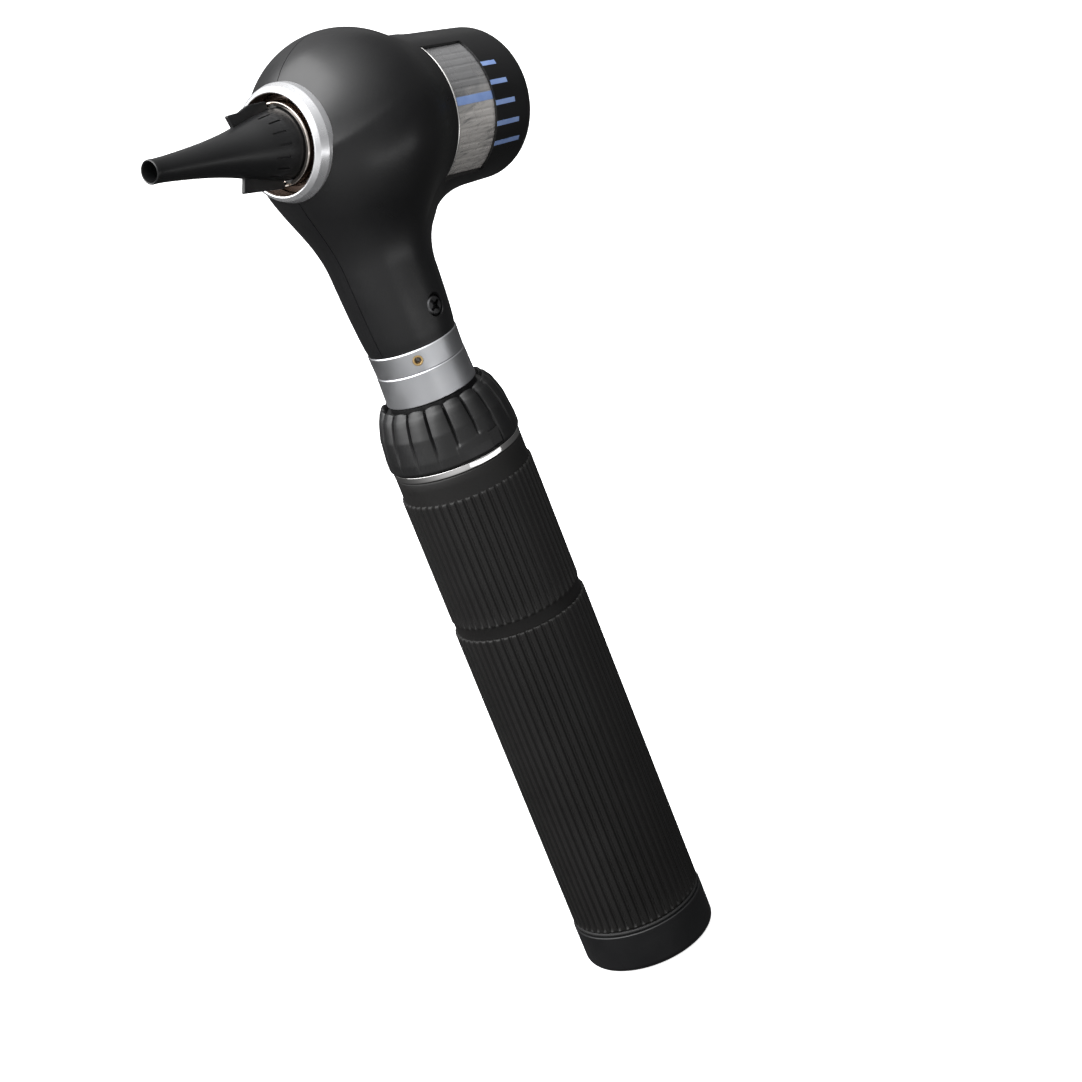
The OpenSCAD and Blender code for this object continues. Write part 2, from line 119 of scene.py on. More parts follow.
def interpolate(table, height):
    """Reads a table of (value, height) rows, lowest first."""
    values, heights = zip(*table)
    return np.interp(height, heights, values)


# ------------------------------------------------------------------ meshes
@contextmanager
def editing(mesh):
    bm = bmesh.new()
    bm.from_mesh(mesh)
    yield bm
    bm.to_mesh(mesh)
    bm.free()


def link_object(name, data):
    obj = bpy.data.objects.new(name, data)
    bpy.context.scene.collection.objects.link(obj)
    return obj


def tidy(obj, sharp=32.0):
    """Cleans the mesh, turns its faces outwards and marks edges over sharp degrees."""
    with editing(obj.data) as bm:
        bmesh.ops.remove_doubles(bm, verts=bm.verts, dist=1e-7)
        bmesh.ops.dissolve_degenerate(bm, edges=bm.edges, dist=1e-8)
        loose = [v for v in bm.verts if not v.link_faces]
        if loose:
            bmesh.ops.delete(bm, geom=loose, context="VERTS")
        bmesh.ops.recalc_face_normals(bm, faces=bm.faces)
        limit = math.radians(sharp)
        for edge in bm.edges:
            edge.smooth = len(edge.link_faces) == 2 and edge.calc_face_angle(0.0) < limit
        for face in bm.faces:
            face.smooth = True
    obj.data.update()
    return obj


def new_object(name, points, faces, sharp=32.0):
    mesh = bpy.data.meshes.new(name)
    mesh.from_pydata((np.asarray(points, float) * MM).tolist(), [],
                     [list(map(int, face)) for face in faces])
    mesh.validate(verbose=False)
    mesh.update()
    return tidy(link_object(name, mesh), sharp)


def posed(points, pose):
    return np.asarray(points, float) @ pose[:3, :3].T + pose[:3, 3]


def lathe(name, profile, pose, segments, sweep=360.0, modulate=None, sharp=32.0):
    """Turns a closed profile of (radius, height) about local Z.

    modulate(turn, radius, height) returns a new (radius, height) for ribs and flutes.
    """
    closed = sweep == 360.0
    profile = np.array(profile, float)
    n = len(profile)
    columns = segments if closed else segments + 1
    angles = np.radians(sweep * np.arange(columns) / segments)
    turn, radius = np.meshgrid(angles, profile[:, 0], indexing="ij")
    height = np.repeat(profile[None, :, 1], columns, 0)
    if modulate is not None:
        radius, height = modulate(turn, radius, height)
    points = np.stack([radius * np.cos(turn), radius * np.sin(turn), height], -1).reshape(-1, 3)
    faces = []
    for i in range(segments):
        j = (i + 1) % columns
        for a in range(n):
            b = (a + 1) % n
            faces.append((i * n + a, j * n + a, j * n + b, i * n + b))
    if not closed:
        faces.append(tuple(range(n - 1, -1, -1)))
        faces.append(tuple((columns - 1) * n + a for a in range(n)))
    return new_object(name, posed(points, pose), faces, sharp)


def turned(name, corners, steps, pose, segments):
    """A full turn of a profile given as rows of (radius, height, corner radius)."""
    return lathe(name, rounded(corners, steps), pose, segments)


def sector(name, profile, pose, angle, width, segments):
    """Part of a turn, centred on an angle measured from local +X towards -Y."""
    return lathe(name, profile, pose @ rotate("z", -angle - width / 2), segments, sweep=width)


def cylinder(radius, low, high, pose, segments):
    return lathe("cut", rectangle(0, radius, low, high), pose, segments)


def prism(name, outline, low, high, pose, bevel=0.0):
    """Extrudes a closed outline of (x, y) between two heights along local Z."""
    n = len(outline)
    flat = np.array(outline, float)
    points = np.concatenate([np.c_[flat, np.full(n, low)], np.c_[flat, np.full(n, high)]])
    faces = [tuple(range(n - 1, -1, -1)), tuple(range(n, 2 * n))]
    faces += [(i, (i + 1) % n, n + (i + 1) % n, n + i) for i in range(n)]
    obj = new_object(name, posed(points, pose), faces)
    if bevel > 0:
        with editing(obj.data) as bm:
            edges = [e for e in bm.edges
                     if len(e.link_faces) == 2 and e.calc_face_angle(0.0) > math.radians(28)]
            bmesh.ops.bevel(bm, geom=edges, offset=bevel * MM, segments=3, profile=0.5,
                            affect="EDGES", clamp_overlap=True)
        tidy(obj)
    return obj


def remove(obj):
    mesh = obj.data
    bpy.data.objects.remove(obj)
    bpy.data.meshes.remove(mesh)


def boolean(obj, tool, operation="DIFFERENCE"):
    """Applies a boolean at once and removes the tool."""
    modifier = obj.modifiers.new("b", "BOOLEAN")
    modifier.operation = operation
    modifier.object = tool
    modifier.solver = "EXACT"
    bpy.context.view_layer.update()
    depsgraph = bpy.context.evaluated_depsgraph_get()
    mesh = bpy.data.meshes.new_from_object(obj.evaluated_get(depsgraph))
    obj.modifiers.clear()
    old = obj.data
    obj.data = mesh
    bpy.data.meshes.remove(old)
    remove(tool)


def join(objects, name):
    points, faces, count = [], [], 0
    for obj in objects:
        part = np.array([v.co[:] for v in obj.data.vertices]) / MM
        points.append(part)
        faces += [tuple(count + i for i in p.vertices) for p in obj.data.polygons]
        count += len(part)
        remove(obj)
    return new_object(name, np.concatenate(points), faces)


# ------------------------------------------------------------------ materials
def linear(hex_colour):
    """sRGB hex to linear RGB."""
    channels = [int(hex_colour[i:i + 2], 16) / 255 for i in (0, 2, 4)]
    return [c / 12.92 if c <= 0.04045 else ((c + 0.055) / 1.055) ** 2.4 for c in channels]


def operation_node(tree, kind, operation, values):
    """A maths node whose inputs are sockets or plain values."""
    node = tree.nodes.new(kind)
    node.operation = operation
    for socket, value in zip(node.inputs, values):
        if hasattr(value, "links"):
            tree.links.new(value, socket)
        else:
            socket.default_value = value
    return node


def scalar(tree, operation, *values):
    return operation_node(tree, "ShaderNodeMath", operation, values).outputs[0]


def vector(tree, operation, *values, output="Value"):
    return operation_node(tree, "ShaderNodeVectorMath", operation, values).outputs[output]


class Mat:
    """A procedural material: base colour, roughness and bump can vary over the surface."""

    def __init__(self, name, colour, roughness, metallic=0.0, specular=0.5):
        self.material = bpy.data.materials.new(name)
        self.material.use_nodes = True
        self.tree = self.material.node_tree
        self.tree.nodes.clear()
        self.output = self.node("ShaderNodeOutputMaterial")
        self.shader = self.node("ShaderNodeBsdfPrincipled")
        self.inputs = self.shader.inputs
        self.link(self.shader.outputs[0], self.output.inputs[0])
        self.inputs["Metallic"].default_value = metallic
        self.inputs["Specular IOR Level"].default_value = specular
        self.inputs["Coat Roughness"].default_value = 0.12
        self.place = self.node("ShaderNodeTexCoord").outputs["Object"]
        self.colour = (*colour, 1)
        self.inputs["Base Color"].default_value = self.colour
        self.inputs["Roughness"].default_value = roughness

    def node(self, kind):
        return self.tree.nodes.new(kind)

    def link(self, source, target):
        self.tree.links.new(source, target)

    def noise(self, scale, detail, roughness=0.55, stretch=None):
        node = self.node("ShaderNodeTexNoise")
        node.inputs["Scale"].default_value = scale
        node.inputs["Detail"].default_value = detail
        node.inputs["Roughness"].default_value = roughness
        place = self.place
        if stretch is not None:
            mapping = self.node("ShaderNodeMapping")
            mapping.inputs["Scale"].default_value = stretch
            self.link(place, mapping.inputs["Vector"])
            place = mapping.outputs[0]
        self.link(place, node.inputs["Vector"])
        return node.outputs["Fac"]

    def remap(self, value, source, target):
        """Maps the range source onto the range target."""
        node = self.node("ShaderNodeMapRange")
        for side, limits in (("From", source), ("To", target)):
            node.inputs[side + " Min"].default_value = limits[0]
            node.inputs[side + " Max"].default_value = limits[1]
        self.link(value, node.inputs["Value"])
        return node.outputs["Result"]

    def vary_colour(self, value, other, span=(0.35, 0.7)):
        """Mixes towards another colour as value crosses span."""
        mix = self.node("ShaderNodeMix")
        mix.data_type = "RGBA"
        self.link(self.remap(value, span, (0.0, 1.0)), mix.inputs["Factor"])
        previous = self.inputs["Base Color"].links
        if previous:
            self.link(previous[0].from_socket, mix.inputs["A"])
        else:
            mix.inputs["A"].default_value = self.colour
        mix.inputs["B"].default_value = (*other, 1)
        self.link(mix.outputs["Result"], self.inputs["Base Color"])

    def weather(self, patches, other, gloss, rough, grain, relief, span=(0.35, 0.7)):
        """Three noises, each (scale, detail[, roughness[, stretch]]).

        patches mixes in the colour other, gloss moves the roughness over the range rough,
        and grain drives a bump with relief = (strength, distance in metres).
        """
        self.vary_colour(self.noise(*patches), other, span)
        self.link(self.remap(self.noise(*gloss), (0.3, 0.7), rough), self.inputs["Roughness"])
        height = self.noise(*grain)
        bump = self.node("ShaderNodeBump")
        bump.inputs["Strength"].default_value, bump.inputs["Distance"].default_value = relief
        self.link(height, bump.inputs["Height"])
        self.link(bump.outputs["Normal"], self.inputs["Normal"])


MATS = {}


def add_material(name, colour, roughness, metallic=0.0, specular=0.5, prepare=None, **weather):
    mat = Mat(name, colour, roughness, metallic, specular)
    if prepare:
        prepare(mat)
    mat.weather(**weather)
    MATS[name] = mat.material


def add_plastic(name, colour, roughness, other, grain=2600, bump=0.12, specular=0.5):
    """Moulded plastic or rubber: grain is the scale of the fine bump, bump its strength."""
    add_material(name, colour, roughness, specular=specular,
                 patches=(55, 5), other=other,
                 gloss=(120, 6, 0.6), rough=(roughness - 0.05, roughness + 0.07),
                 grain=(grain, 3, 0.6), relief=(bump, 0.00004))


def add_plastics():
    add_plastic("black_plastic", (0.0068, 0.0069, 0.0075), 0.32, other=(0.009, 0.0091, 0.0098))
    add_plastic("speculum_plastic", (0.0085, 0.0087, 0.0092), 0.34,
                other=(0.0115, 0.0118, 0.0125), grain=1800, bump=0.08)
    add_plastic("black_collar", (0.0056, 0.0057, 0.006), 0.40,
                other=(0.0085, 0.0085, 0.009), grain=2200, bump=0.07)
    add_plastic("black_rubber", (0.010, 0.010, 0.0105), 0.62,
                other=(0.016, 0.016, 0.016), grain=1500, bump=0.25)
    add_plastic("grip_rubber", (0.0075, 0.0072, 0.007), 0.5,
                other=(0.010, 0.0096, 0.0094), grain=1900, bump=0.22, specular=0.3)
    add_plastic("cap_plastic", (0.007, 0.0071, 0.0077), 0.40,
                other=(0.0095, 0.0096, 0.0102), grain=2300, bump=0.14, specular=0.4)


def painted_shade_by_height(mat):
    """Paints shade on the wheel: darker grey from a height of about 0.19 m upwards, with an
    uneven border.
    """
    split = mat.node("ShaderNodeSeparateXYZ")
    mat.link(mat.place, split.inputs[0])
    waver = scalar(mat.tree, "MULTIPLY", mat.noise(150, 3), 0.008)
    height = scalar(mat.tree, "ADD", split.outputs["Z"], waver)
    # painted shade: the wheel's upper part is darkened to this grey
    mat.vary_colour(height, (0.30, 0.30, 0.305), span=(0.1885, 0.1925))


def add_metals():
    add_material("satin_aluminium", (0.66, 0.67, 0.69), 0.34, metallic=1.0,
                 patches=(90, 5), other=(0.60, 0.61, 0.64), gloss=(160, 6), rough=(0.30, 0.40),
                 grain=(1, 6, 0.7, (700, 700, 9000)), relief=(0.10, 0.00003))
    add_material("bezel_aluminium", (0.90, 0.90, 0.92), 0.25, metallic=0.72,
                 patches=(120, 5), other=(0.80, 0.81, 0.83), gloss=(200, 6), rough=(0.2, 0.32),
                 grain=(1500, 4), relief=(0.05, 0.00003))
    # the wheel's upper part gets painted shade from its prepare step
    add_material("wheel_aluminium", (0.80, 0.77, 0.74), 0.30, metallic=0.45,
                 prepare=painted_shade_by_height,
                 patches=(1, 5, 0.65, (160, 1500, 1500)), other=(0.26, 0.26, 0.26),
                 span=(0.5, 0.74), gloss=(300, 6), rough=(0.2, 0.4),
                 grain=(1, 5, 0.7, (500, 4200, 4200)), relief=(0.25, 0.00004))
    add_material("chrome", (0.80, 0.79, 0.78), 0.07, metallic=1.0,
                 patches=(70, 4), other=(0.74, 0.73, 0.73), gloss=(240, 6), rough=(0.04, 0.13),
                 grain=(900, 3), relief=(0.03, 0.00002))
    add_material("rim_metal", (0.94, 0.93, 0.91), 0.2, metallic=0.8,
                 patches=(200, 5), other=(0.82, 0.8, 0.78), gloss=(260, 6), rough=(0.16, 0.3),
                 grain=(1500, 3), relief=(0.04, 0.00002))
    # dark brown metal: a painted reflection, the brown that the chrome lock flange and the
    # bezel's inside mirror
    add_material("painted_brown_reflection", (0.10, 0.078, 0.066), 0.22, metallic=1.0,
                 patches=(200, 5), other=(0.16, 0.13, 0.115), span=(0.45, 0.75),
                 gloss=(260, 6), rough=(0.16, 0.32), grain=(1500, 3), relief=(0.05, 0.00002))
    add_material("nozzle_metal", (0.82, 0.76, 0.71), 0.12, metallic=1.0,
                 patches=(150, 4), other=(0.66, 0.6, 0.55), gloss=(240, 6), rough=(0.08, 0.2),
                 grain=(1200, 3), relief=(0.04, 0.00002))


def add_inlay_and_brass():
    add_material("blue_inlay", linear("8fa9dc"), 0.42,
                 patches=(300, 4), other=linear("7d98cf"), gloss=(400, 4), rough=(0.36, 0.5),
                 grain=(2600, 3), relief=(0.08, 0.00002))
    add_material("brass", (0.90, 0.66, 0.33), 0.24, metallic=1.0,
                 patches=(300, 4), other=(0.62, 0.41, 0.16), gloss=(500, 4), rough=(0.18, 0.36),
                 grain=(1800, 3), relief=(0.06, 0.00002))
    add_material("black_anodised", (0.03, 0.03, 0.033), 0.4, metallic=0.7,
                 patches=(90, 4), other=(0.045, 0.045, 0.05), gloss=(200, 4), rough=(0.34, 0.48),
                 grain=(1, 4, 0.6, (900, 5000, 5000)), relief=(0.06, 0.00003))


def make_clear(mat):
    mat.inputs["Transmission Weight"].default_value = 1.0
    mat.inputs["IOR"].default_value = 1.5


def add_glass(name, tint, roughness):
    add_material(name, tint, roughness, prepare=make_clear,
                 patches=(60, 3), other=tuple(0.96 * c for c in tint),
                 gloss=(300, 5), rough=(roughness, roughness + 0.04),
                 grain=(40, 2), relief=(0.01, 0.00002))


def add_inner_part_materials():
    add_material("fibre", (0.86, 0.84, 0.72), 0.3,
                 patches=(5000, 2), other=(0.95, 0.93, 0.86), gloss=(900, 3), rough=(0.25, 0.4),
                 grain=(6000, 2), relief=(0.2, 0.00003))
    add_material("fibre_jacket", (0.05, 0.05, 0.055), 0.55,
                 patches=(1, 3, 0.6, (3000, 3000, 600)), other=(0.09, 0.09, 0.1),
                 gloss=(300, 4), rough=(0.5, 0.65),
                 grain=(1, 3, 0.6, (3500, 3500, 1500)), relief=(0.3, 0.00004))
    add_material("ivory_plastic", (0.66, 0.62, 0.53), 0.42,
                 patches=(80, 5), other=(0.6, 0.55, 0.45), gloss=(160, 5), rough=(0.36, 0.5),
                 grain=(2200, 3), relief=(0.08, 0.00003))
    add_material("spring_steel", (0.56, 0.57, 0.59), 0.25, metallic=1.0,
                 patches=(400, 5), other=(0.46, 0.46, 0.48), gloss=(500, 5), rough=(0.18, 0.36),
                 grain=(2500, 3), relief=(0.06, 0.00002))
    add_material("screw_steel", (0.15, 0.15, 0.155), 0.30, metallic=1.0,
                 patches=(600, 5), other=(0.24, 0.24, 0.245), span=(0.5, 0.75),
                 gloss=(700, 5), rough=(0.22, 0.42), grain=(3000, 3), relief=(0.1, 0.00002))
    add_material("nickel_tube", (0.5, 0.47, 0.38), 0.3, metallic=1.0,
                 patches=(60, 6), other=(0.38, 0.34, 0.25), gloss=(90, 6), rough=(0.22, 0.42),
                 grain=(1, 5, 0.7, (2500, 2500, 120)), relief=(0.08, 0.00003))
    add_material("cell_jacket", (0.13, 0.135, 0.15), 0.3, metallic=0.35,
                 patches=(60, 5), other=(0.17, 0.17, 0.185), gloss=(120, 5), rough=(0.24, 0.4),
                 grain=(1400, 3), relief=(0.05, 0.00003))
    add_material("resistor", (0.05, 0.028, 0.016), 0.5,
                 patches=(500, 4), other=(0.09, 0.055, 0.035), gloss=(300, 4), rough=(0.42, 0.6),
                 grain=(3000, 3), relief=(0.15, 0.00003))


add_plastics()
add_metals()
add_inlay_and_brass()
add_glass("lens_glass", (0.94, 0.97, 1.0), 0.02)
add_glass("lamp_glass", (1.0, 0.98, 0.9), 0.05)
add_inner_part_materials()


def dress(obj, body, node, slot, material=None, weighted=True):
    """Gives a piece its material (named as its slot unless given) and body, and hides its CAD
    node.
    """
    obj.data.materials.clear()
    obj.data.materials.append(MATS[material or slot])
    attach(obj, body)
    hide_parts(node)
    if weighted:
        normals = obj.modifiers.new("wn", "WEIGHTED_NORMAL")
        normals.keep_sharp = True
        normals.weight = 60


# ------------------------------------------------------------------ head shell
BALL_CENTRE, BALL_RADIUS = -5.4, 20.05      # the centre is a place along the optical axis
BALL_INNER_RADIUS = 17.8
BARREL_MIDDLE, BARREL_HALF_LENGTH, BARREL_EDGE = -22, 24, 3.6
BARREL = [(15.62, -46), (15.82, -42), (16.12, -33), (16.42, -22), (16.7, -14), (16.7, 0)]
NECK_FOOT, NECK_TOP = 146.2, 186
# (radius, height) up the neck
NECK = [(8.9, 130), (9.38, NECK_FOOT), (9.66, 148), (9.9, 150.5), (10.15, 154), (10.35, 158),
        (10.5, 162), (10.65, 166), (10.8, 170), (10.9, 174), (11.0, 178), (11.0, 184)]
# (radius, place along the optical axis), behind and ahead of the ball's inside
CAVITY_BACK = [(0, -49), (11.0, -49), (11.0, -43.5), (13, -43.5), (13, -33.12),
               (15.62, -33.12), (15.62, -20.9), (16.3, -20.9), (16.3, -20.3), (13, -20.3)]
CAVITY_FRONT = [(9.95, 10.38), (11.74, 10.38), (11.74, 17), (0, 17)]
# side openings over the focus wheel: profile, centre from the top, and width in degrees
WINDOW = [(14.2, -32.45), (21, -32.45), (21, -19.2), (16.75, -19.75), (16.1, -20.32),
          (14.2, -20.32)]
WINDOW_ANGLE, WINDOW_WIDTH = 92.5, 109
SCREW_SEAT = [(0, 7.0), (1.35, 7.0), (1.35, 9.0), (2.3, 9.0), (2.3, 9.75), (2.75, 10.35),
              (2.75, 14), (0, 14)]
HALF_GAP = 0.08                             # from the middle plane to each shell half

# local Z points outwards: along -Y for the near screw and +Y for the far screw and the port
NEAR_SCREW, FAR_SCREW = (move(0, 0, 152.7) @ rotate("x", a) for a in (90, -90))
PORT = OPTIC @ move(0, 0, -2) @ rotate("x", -90)


def smooth_min(a, b, blend):
    share = np.clip(0.5 + 0.5 * (b - a) / blend, 0, 1)
    return b * (1 - share) + a * share - blend * share * (1 - share)


def head_field(points):
    """Distance field of ball, barrel and neck, negative inside."""
    x, y, z = points.T
    offset = points - OPTIC[:3, 3]
    up = offset @ OPTIC[:3, 0]
    along = offset @ OPTIC[:3, 2]
    out = np.sqrt(up ** 2 + offset[:, 1] ** 2)
    ball = np.sqrt(out ** 2 + (along - BALL_CENTRE) ** 2) - BALL_RADIUS
    side = out - (interpolate(BARREL, along) - BARREL_EDGE)
    end = np.abs(along - BARREL_MIDDLE) - (BARREL_HALF_LENGTH - BARREL_EDGE)
    barrel = (np.hypot(np.maximum(side, 0), np.maximum(end, 0))
              + np.minimum(np.maximum(side, end), 0) - BARREL_EDGE)
    neck = np.maximum(np.hypot(x, y) - interpolate(NECK, z), z - NECK_TOP)
    body = smooth_min(ball, barrel, 2.6)
    # the neck blends more widely under the barrel, on the +X side
    wider = np.interp(x, [2, 14], [0, 10.5]) * np.clip(1 - (y / 10.5) ** 2, 0, 1)
    return smooth_min(body, neck, 9.5 + wider)


def surface_nets(field, low, high, step):
    """Quads over the field's zero surface: one point per mixed grid cell."""
    axes = [np.arange(low[i], high[i] + step, step) for i in range(3)]
    grid = np.stack(np.meshgrid(*axes, indexing="ij"), -1)
    points = grid.reshape(-1, 3)
    chunks = np.array_split(points, max(1, len(points) // 400000))
    values = np.concatenate([field(chunk) for chunk in chunks]).reshape(grid.shape[:3])
    inside = values < 0
    corners = [(a, b, c) for a in (0, 1) for b in (0, 1) for c in (0, 1)]
    count = sum(inside[tuple(slice(d, n - 1 + d) for d, n in zip(corner, values.shape))]
                .astype(int) for corner in corners)
    mixed = (count > 0) & (count < 8)
    cells = np.argwhere(mixed)
    index = -np.ones(mixed.shape, int)
    index[mixed] = np.arange(len(cells))

    # each point is the mean of the crossings on its cell's edges
    total = np.zeros((len(cells), 3))
    crossings = np.zeros(len(cells))
    for start in corners:
        for axis in range(3):
            if start[axis] == 1:
                continue
            end = list(start)
            end[axis] = 1
            a = values[tuple((cells + start).T)]
            b = values[tuple((cells + end).T)]
            cross = (a < 0) != (b < 0)
            share = np.where(cross, a / np.where(cross, a - b, 1), 0)
            point = cells + np.array(start) + np.outer(share, np.eye(3)[axis])
            total[cross] += point[cross]
            crossings[cross] += 1
    points = total / crossings[:, None] * step + np.array(low)

    # a quad around each grid edge that crosses the surface
    faces = []
    for axis in range(3):
        first, second = [slice(None)] * 3, [slice(None)] * 3
        first[axis], second[axis] = slice(0, -1), slice(1, None)
        i, j = [(1, 2), (2, 0), (0, 1)][axis]
        edges = np.argwhere(inside[tuple(first)] != inside[tuple(second)])
        edges = edges[(edges[:, i] > 0) & (edges[:, j] > 0)
                      & (edges[:, i] < values.shape[i] - 1)
                      & (edges[:, j] < values.shape[j] - 1)]
        outward = inside[tuple(edges.T)]
        di, dj = np.eye(3, dtype=int)[i], np.eye(3, dtype=int)[j]
        around = (edges - di - dj, edges - dj, edges, edges - di)
        quads = np.stack([index[tuple(cell.T)] for cell in around], 1)
        quads[~outward] = quads[~outward][:, ::-1]
        faces.append(quads)

    # pull the points onto the surface along the gradient
    reach = 0.02
    for _ in range(4):
        value = field(points)
        gradient = np.stack([(field(points + reach * np.eye(3)[i])
                              - field(points - reach * np.eye(3)[i])) / (2 * reach)
                             for i in range(3)], 1)
        steepness = np.maximum((gradient ** 2).sum(1), 0.2)
        points = points - (value / steepness)[:, None] * gradient
    return points, np.concatenate(faces)


def cut_plane(bm, place, normal):
    """Removes what lies on the normal's side and returns the open edges."""
    bmesh.ops.bisect_plane(bm, geom=bm.verts[:] + bm.edges[:] + bm.faces[:], dist=1e-9,
                           plane_co=place, plane_no=normal, clear_outer=True)
    return [e for e in bm.edges if e.is_boundary]


def build_head():
    points, faces = surface_nets(head_field, low=(-21.3, -21.3, 143.0),
                                 high=(49.7, 21.3, 213.1), step=0.62)
    head = new_object("head_blank", points, faces, sharp=80)
    with editing(head.data) as bm:
        edges = cut_plane(bm, (0, 0, NECK_FOOT * MM), (0, 0, -1))
        bmesh.ops.contextual_create(bm, geom=edges)
        bmesh.ops.recalc_face_normals(bm, faces=bm.faces)

    arc = [(BALL_INNER_RADIUS * math.sin(a), BALL_CENTRE + BALL_INNER_RADIUS * math.cos(a))
           for a in np.radians(np.linspace(133.1, 34.0, 24))]
    boolean(head, lathe("cut", CAVITY_BACK + arc + CAVITY_FRONT, OPTIC, 160))
    boolean(head, cylinder(8.25, 140, 176, HANDLE, 96))
    for angle in (WINDOW_ANGLE, -WINDOW_ANGLE):
        boolean(head, sector("cut", WINDOW, OPTIC, angle, WINDOW_WIDTH, 72))
    for pose in (NEAR_SCREW, FAR_SCREW):
        boolean(head, lathe("cut", SCREW_SEAT, pose, 48))
    boolean(head, cylinder(2.62, 12, 26, PORT, 64))

    for node, side in (("head_shell_left", -1), ("head_shell_right", 1)):
        half = link_object(node + "_body", head.data.copy())
        with editing(half.data) as bm:
            edges = cut_plane(bm, (0, side * HALF_GAP * MM, 0), (0, -side, 0))
            bmesh.ops.triangle_fill(bm, use_beauty=True, edges=edges)
        tidy(half, 38)
        dress(half, "head", node, "black_plastic")
    remove(head)


def build_head_screw(name, pose):
    """A low round head with a crossed slot."""
    screw = turned(name, [(0, 6.4, 0), (1.2, 6.4, 0.1), (1.2, 9.02, 0), (2.12, 9.02, 0.05),
                          (2.12, 9.35, 0.12), (1.7, 9.78, 0.25), (0, 9.9, 0)], 5, pose, 64)
    slot = [(-1.5, -0.3), (-0.5, -0.42), (0.5, -0.42), (1.5, -0.3),
            (1.5, 0.3), (0.5, 0.42), (-0.5, 0.42), (-1.5, 0.3)]
    for angle in (28, 118):
        boolean(screw, prism("cut", slot, 8.6, 11, pose @ rotate("z", angle)))
    boolean(screw, lathe("cut", [(0, 9.0), (0.3, 9.1), (0.62, 11), (0, 11)], pose, 24))
    tidy(screw)
    dress(screw, "head", "head_screws", "screw_steel", weighted=False)


build_head()
build_head_screw("head_screw_near", NEAR_SCREW)
build_head_screw("head_screw_far", FAR_SCREW)

# ------------------------------------------------------------------ front of the head
# Profile rows are (radius, place along the optical axis, corner radius).
BEZEL = [(10.12, 10.42, 0.05), (11.72, 10.42, 0.1), (11.72, 12.4, 0.25), (11.15, 14.15, 0.5),
         (10.35, 14.95, 0.2), (10.0, 14.9, 0.08), (10.12, 14.5, 0.05)]
BEZEL_LINER = [(9.9, 10.6, 0), (10.12, 10.6, 0), (10.12, 14.55, 0.05), (9.98, 14.75, 0.05),
               (9.9, 14.6, 0.03)]
HOLDER = [(4.42, 7.6, 0), (9.92, 7.6, 0.1), (9.92, 9.28, 0.1), (6.45, 9.28, 0.25),
          (6.35, 12, 0.1), (5.9, 16, 0.3), (5.45, 18.5, 0.3), (4.98, 20.6, 0.15),
          (4.8, 21, 0.1), (4.42, 21, 0.1)]
LOCK_FLANGE = [(8.3, 9.42, 0.05), (9.86, 9.42, 0.05), (9.86, 10.95, 0.15),
               (8.6, 11.05, 0.1), (8.3, 11.2, 0.05)]
LOCK_RING = [(7.42, 9.42, 0.05), (8.28, 9.42, 0.05), (8.28, 11.3, 0.1), (8.4, 12.4, 0.3),
             (8.34, 14.2, 0.12), (8.16, 14.5, 0.12), (7.5, 14.5, 0.06), (7.42, 14.35, 0.05)]


def build_front_rings():
    bezel = turned("bezel_ring_body", BEZEL, 7, OPTIC, 224)
    dress(bezel, "head", "bezel_ring", "satin_aluminium", "bezel_aluminium")
    holder = turned("speculum_holder_body", HOLDER, 4, OPTIC, 160)
    dress(holder, "head", "speculum_holder", "chrome")
    # the chrome flange is painted dark brown for the brown it reflects
    flange = turned("speculum_lock_ring_flange", LOCK_FLANGE, 4, OPTIC, 192)
    dress(flange, "lock_ring", "speculum_lock_ring", "chrome", "painted_brown_reflection")
    lock = turned("speculum_lock_ring_body", LOCK_RING, 5, OPTIC, 192)
    for angle in (0, 180):      # notches at top and bottom
        boolean(lock, prism("cut", rectangle(6.9, 7.95, -1.3, 1.3), 11.4, 18,
                            OPTIC @ rotate("z", angle)))
    tidy(lock)
    dress(lock, "lock_ring", "speculum_lock_ring", "chrome", "nozzle_metal")
    # the bezel's liner is painted dark brown for the brown it reflects
    liner = turned("bezel_ring_liner", BEZEL_LINER, 3, OPTIC, 192)
    dress(liner, "head", "bezel_ring", "satin_aluminium", "painted_brown_reflection")


# (radius, place along the optical axis), from the tip back outside, then forward inside
SPECULUM_OUTER = [
    (2.33, 48.05), (2.37, 47.7), (2.36, 47.2), (2.33, 46.6), (2.42, 44.5), (2.56, 42.5),
    (2.74, 40.3), (2.93, 38.2), (3.14, 36.1), (3.38, 34), (3.66, 31.9), (3.98, 29.8),
    (4.33, 27.8), (4.72, 25.9), (5.18, 24.0), (5.64, 22.2), (6.05, 20.5), (6.34, 19.0),
    (6.56, 17.7), (6.72, 16.6), (6.86, 15.7), (6.98, 15.25), (7.06, 14.9), (7.08, 14.6),
    (7.08, 12.05)]
SPECULUM_INNER = [
    (6.57, 12.0), (6.54, 14.0), (6.28, 16.0), (5.85, 17.9), (5.4, 19.7), (4.92, 21.6),
    (4.4, 23.7), (3.95, 25.6), (3.62, 27.5), (3.34, 29.5), (3.06, 31.8), (2.8, 34.2),
    (2.55, 36.6), (2.34, 39), (2.16, 41.5), (2.02, 44), (1.95, 46.4), (1.94, 47.8),
    (2.02, 48.08), (2.18, 48.2)]
TOP_FIN = [(3.9, 25.0), (7.0, 26.25), (7.25, 26.0), (7.42, 22.9), (8.0, 21.4), (8.42, 20.0),
           (8.5, 15.8), (8.15, 15.3), (6.5, 15.3), (5.6, 20.0), (4.4, 24.2)]
BOTTOM_FIN = [(3.9, 25.0), (7.5, 26.25), (7.72, 26.0), (8.1, 20.6), (8.45, 15.8),
              (8.15, 15.3), (6.5, 15.3), (5.6, 20.0), (4.4, 24.2)]
FIN_HALF_THICKNESS = 0.45
